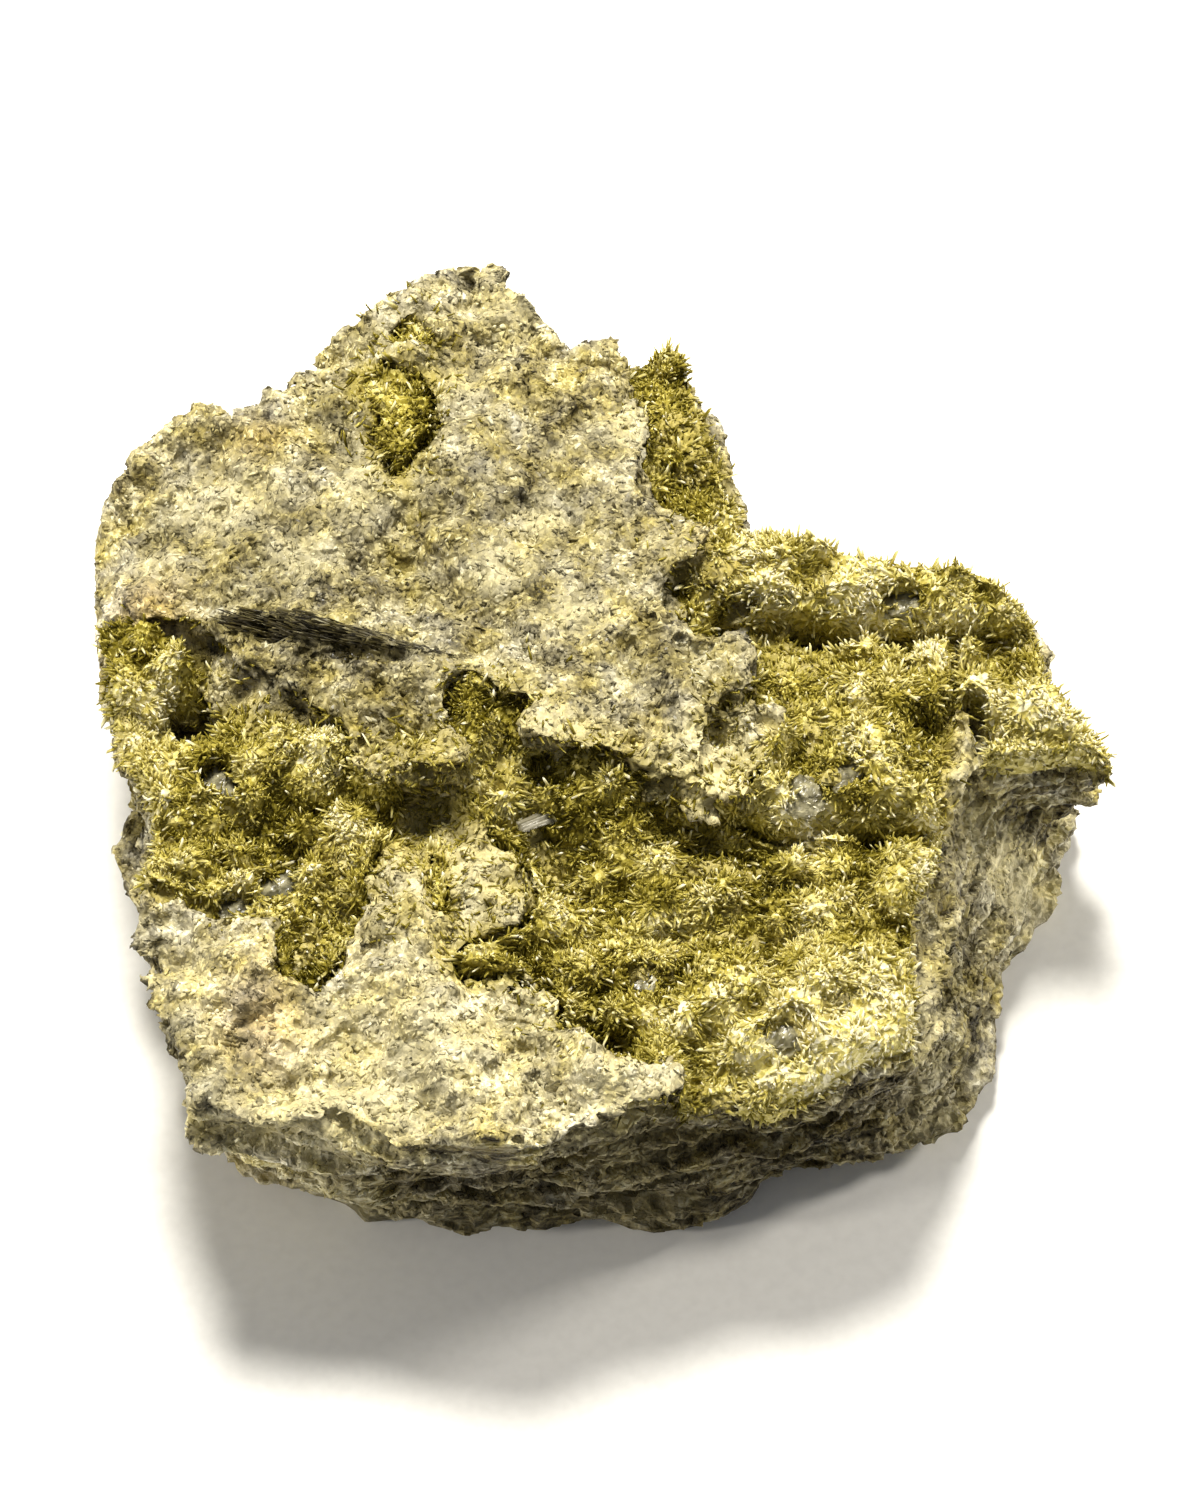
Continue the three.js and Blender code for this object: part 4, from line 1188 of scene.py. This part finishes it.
def make_needles(node):
    """The needles of a crust and of the rock beside it, as one or more pieces."""
    crust = crust_pieces[node]
    area = scatter_on(crust, 1, where_needles_grow)[2]
    roots, facing, _, rise = scatter_on(
        crust, int(area * NEEDLES_PER_MM2), where_needles_grow, rise_of[node]
    )
    own = [i for i in close if fringe_owner[i] == node]
    roots = np.concatenate([roots, fringe[own]])
    facing = np.concatenate([facing, fringe_facing[own]])
    rise = np.concatenate([rise, np.full(len(own), FRINGE_RISE_MM)])
    count = len(roots)
    centres, outward, _, _ = scatter_on(crust, max(3, int(area / SPRAY_MM2)), where_needles_grow)
    centres = centres - outward * MM * random.uniform(*SPRAY_DEPTH_MM, (len(centres), 1))
    nearest = KDTree(len(centres))
    for i, centre in enumerate(centres):
        nearest.insert(centre, i)
    nearest.balance()
    spray = np.array([nearest.find(root)[1] for root in roots.tolist()])
    fan = unit(roots - centres[spray])
    axis = unit(fan + UPRIGHT * facing + NEEDLE_SCATTER * random.normal(size=(count, 3)))
    lean = (axis * facing).sum(1, keepdims=True)
    least, raised = LEAST_UPRIGHT
    axis = unit(axis + np.where(lean < least, raised - lean, 0) * facing)
    length = SHORTEST_MM + LENGTH_RANGE_MM * random.random(count) ** SHORT_NEEDLES
    glint = random.random(count) < GLINTS
    long = random.random(count) < LONG_NEEDLES
    length += np.where(long, random.uniform(*LONG_EXTRA_MM, count), 0)
    length += np.where(glint, random.uniform(*GLINT_EXTRA_MM, count), 0)
    width = random.uniform(*HALF_WIDTH_MM, count) + np.where(glint, GLINT_WIDER_MM, 0)
    size = MM * np.stack([width, FLATTENED * width, length], axis=1)
    corners = copies_of(NEEDLE_POINTS, roots - FOOT_MM * MM * axis, axis, size)
    spray_tint = random.normal(*SPRAY_TINT, len(centres))
    tint = spray_tint[spray] + random.normal(0, NEEDLE_TINT_SPREAD, count)
    # painted light on crests, as on the crust, with the druse's pale patches and waves
    tint += paleness_at(roots, rise)
    # glints: painted highlights, a few needles nearly white
    tint = np.clip(np.where(glint, random.uniform(*GLINT_TINT, count), tint), *TINT_RANGE)
    along = NEEDLE_POINTS[None, :, 2]
    # painted shade: each needle darker towards its foot
    tone = tint[:, None] * (SHADED_FOOT_TINT + (1 - SHADED_FOOT_TINT) * along)
    parts = math.ceil(count / MOST_NEEDLES)
    return [
        mesh_of_copies(
            f"{node}_needles_{part + 1}",
            corners[part::parts],
            NEEDLE_FACES,
            {"tone": tone[part::parts]},
        )
        for part in range(parts)
    ]


needle_pieces = {node: make_needles(node) for node in DRUSES}
small_pieces = [*chip_pieces, *(piece for pieces in needle_pieces.values() for piece in pieces)]
small = {piece.name: triangle_count(piece) for piece in small_pieces}
print("needles and chips:", small)
print("together:", sum(small.values()), "triangles, and at most", max(small.values()), "in one")

# %% [markdown]
# The needles are the same mineral as the crust, and clearer, because each is so thin: a
# little light goes through them. Their tips are nearly cream, and their feet olive: the
# darker feet are painted shade, where the needles crowd together.

# %% the needles' material
NEEDLE_TONES = [*CRUST_TONES, (0.90, "#ece4b0")]
needle_material, tree = new_material("clinozoisite_needles")
tones = add_node(tree, "ValToRGB", {0: attribute(tree, "tone")}, stops=NEEDLE_TONES)
needle_look = {"Base Color": tones.outputs[0], "Roughness": 0.28, "Transmission Weight": 0.2}
show_surface(tree, CRYSTAL_GLOSS | needle_look)
for node, pieces in needle_pieces.items():
    for piece in pieces:
        finish_piece(piece, node, needle_material)

# %% [markdown]
# ## Quartz and the two blades
# Between the needles sit grains of cloudy, greyish quartz with a conchoidal, glassy
# break, and two flat grey blades with fine lines along them. Both start from copies of
# their CAD solids. The quartz is clear in places and milky in others, where fine cracks
# scatter the light, and its skin is chipped. The blades get a fine grid of faces first,
# and ridges from a texture that is stretched along the blade.

# %% quartz grains
QUARTZ_VOXEL_MM = 0.25
QUARTZ_HEIGHT = 0.5  # a grain's height, as a share of its solid's
QUARTZ_SINK_MM = 0.3
QUARTZ_CHIPS_MM = (1.3, 0.6)  # size and depth
QUARTZ_PITS_MM = (1.0, 0.5)
quartz_chips = pattern("quartz_chips", "VORONOI", QUARTZ_CHIPS_MM[0], color_mode="POSITION")
quartz_pits = pattern("quartz_pits", "CLOUDS", QUARTZ_PITS_MM[0], noise_depth=2)
QUARTZES = [name for name in frame["nodes"] if name.startswith("quartz_")]

quartz_material, tree = new_material("cloudy_quartz")
veil = noise_over(tree, 0.9, 4)
veil_tones = add_node(
    tree, "ValToRGB", {0: veil}, stops=[(0.35, "#767050"), (0.65, "#b3ad8c")]
).outputs[0]
clear = {"Value": veil, "From Min": 0.4, "From Max": 0.62, "To Min": 0.6, "To Max": 0.2}
clearness = add_node(tree, "MapRange", clear).outputs[0]
quartz_look = {"Base Color": veil_tones, "Roughness": 0.3, "IOR": 1.55}
show_surface(tree, quartz_look | {"Transmission Weight": clearness})

for node in QUARTZES:
    grain = copy_of_solid(node, node + "_grain")
    places = places_of(grain)
    lowered = (1 - QUARTZ_HEIGHT) * (places[:, 2] - places[:, 2].min())
    places[:, 2] -= lowered + QUARTZ_SINK_MM * MM
    move_to(grain, places)
    apply_modifier(grain, "REMESH", mode="VOXEL", voxel_size=QUARTZ_VOXEL_MM * MM)
    displace(grain, quartz_chips, QUARTZ_CHIPS_MM[1])
    displace(grain, quartz_pits, QUARTZ_PITS_MM[1])
    finish_piece(grain, node, quartz_material)
    print(node, triangle_count(grain), "triangles")

# %% blades
BLADES = [name for name in frame["nodes"] if name.startswith("clinozoisite_blade_")]
BLADE_VOXEL_MM = 0.12
BLADE_LINES_MM = (0.35, 0.3)  # the width of the ridges along a blade, and their height
BLADE_STRETCH = 30
BLADE_TONES = [(0.3, "#4a4738"), (0.5, "#7f7a66"), (0.75, "#c9c4b0")]
blade_lines = pattern("blade_lines", "CLOUDS", BLADE_LINES_MM[0], noise_depth=2)

blade_material, tree = new_material("grey_clinozoisite")
across = attribute(tree, "across")
lines = add_node(tree, "TexNoise", {"W": across, "Scale": 3.0, "Detail": 4}, noise_dimensions="1D")
line_tones = add_node(tree, "ValToRGB", {0: lines.outputs[0]}, stops=BLADE_TONES).outputs[0]
blade_look = {"Base Color": line_tones, "Roughness": 0.32, "IOR": 1.7}
show_surface(tree, blade_look | {"Transmission Weight": 0.2})

for node in BLADES:
    blade = copy_of_solid(node, node + "_striated")
    middle = places_of(blade).mean(axis=0)
    long_axis, wide_axis, thin_axis = np.linalg.svd(places_of(blade) - middle)[2]
    apply_modifier(blade, "REMESH", mode="VOXEL", voxel_size=BLADE_VOXEL_MM * MM)
    grid = bpy.data.objects.new("grid", None)
    bpy.context.scene.collection.objects.link(grid)
    turn = Matrix(np.stack([long_axis, wide_axis, thin_axis], axis=1).tolist())
    stretch = Matrix.Diagonal((BLADE_STRETCH, 1, BLADE_STRETCH, 1))
    grid.matrix_world = turn.to_4x4() @ stretch
    bpy.context.view_layer.update()
    along_grid = {"texture_coords": "OBJECT", "texture_coords_object": grid}
    displace(blade, blade_lines, BLADE_LINES_MM[1], **along_grid)
    bpy.data.objects.remove(grid)
    paint(blade, "across", (places_of(blade) - middle) @ wide_axis / MM)
    finish_piece(blade, node, blade_material)
    print(node, triangle_count(blade), "triangles")

# %% [markdown]
# ## Floor and light
# A pale floor and a white sky fill the shadows. A large soft lamp stands high behind the
# specimen, so each lip and bank throws its shadow to the front, and the broken front face
# stays dark. A weaker one on each side, lower down, shows the relief of the side faces.

# %% floor, sky and lamps
floor_material, tree = new_material("white_card")
specks = {0: noise_over(tree, 0.8, 2)}
tone = add_node(tree, "ValToRGB", specks, stops=[(0.3, "#f4f4f3"), (0.7, "#fafaf9")])
show_surface(tree, {"Base Color": tone.outputs[0], "Roughness": 0.8})
select_only(rock)
bpy.ops.mesh.primitive_plane_add(size=4, location=(0, 0, -0.02 * MM))
floor = bpy.context.active_object
floor.name = "floor"
floor.data.materials.append(floor_material)

world = bpy.data.worlds.new("studio")
bpy.context.scene.world = world
world.use_nodes = True
world.node_tree.nodes.clear()
sky = add_node(world.node_tree, "Background", {"Color": linear("#fbfcff"), "Strength": 0.2})
add_node(world.node_tree, "OutputWorld", {0: sky.outputs[0]})

LAMPS = [  # name, place and size in metres, power in watts, colour
    ("softbox", (-0.08, 0.42, 0.88), 0.3, 16.5, "#fffaee"),
    ("side_lamp", (0.72, 0.26, 0.42), 0.15, 4.4, "#fff8ea"),
    ("left_lamp", (-0.82, -0.2, 0.26), 0.1, 3.4, "#fff8ea"),
]
for name, place, size, power, colour in LAMPS:
    lamp_data = bpy.data.lights.new(name, "AREA")
    lamp_data.shape = "DISK"
    lamp_data.size = size
    lamp_data.energy = power
    lamp_data.color = linear(colour)[:3]
    lamp = bpy.data.objects.new(name, lamp_data)
    bpy.context.scene.collection.objects.link(lamp)
    lamp.location = place
    lamp.rotation_euler = (CAMERA_AIM - lamp.location).to_track_quat("-Z", "Y").to_euler()
bpy.context.scene.view_settings.view_transform = "Standard"
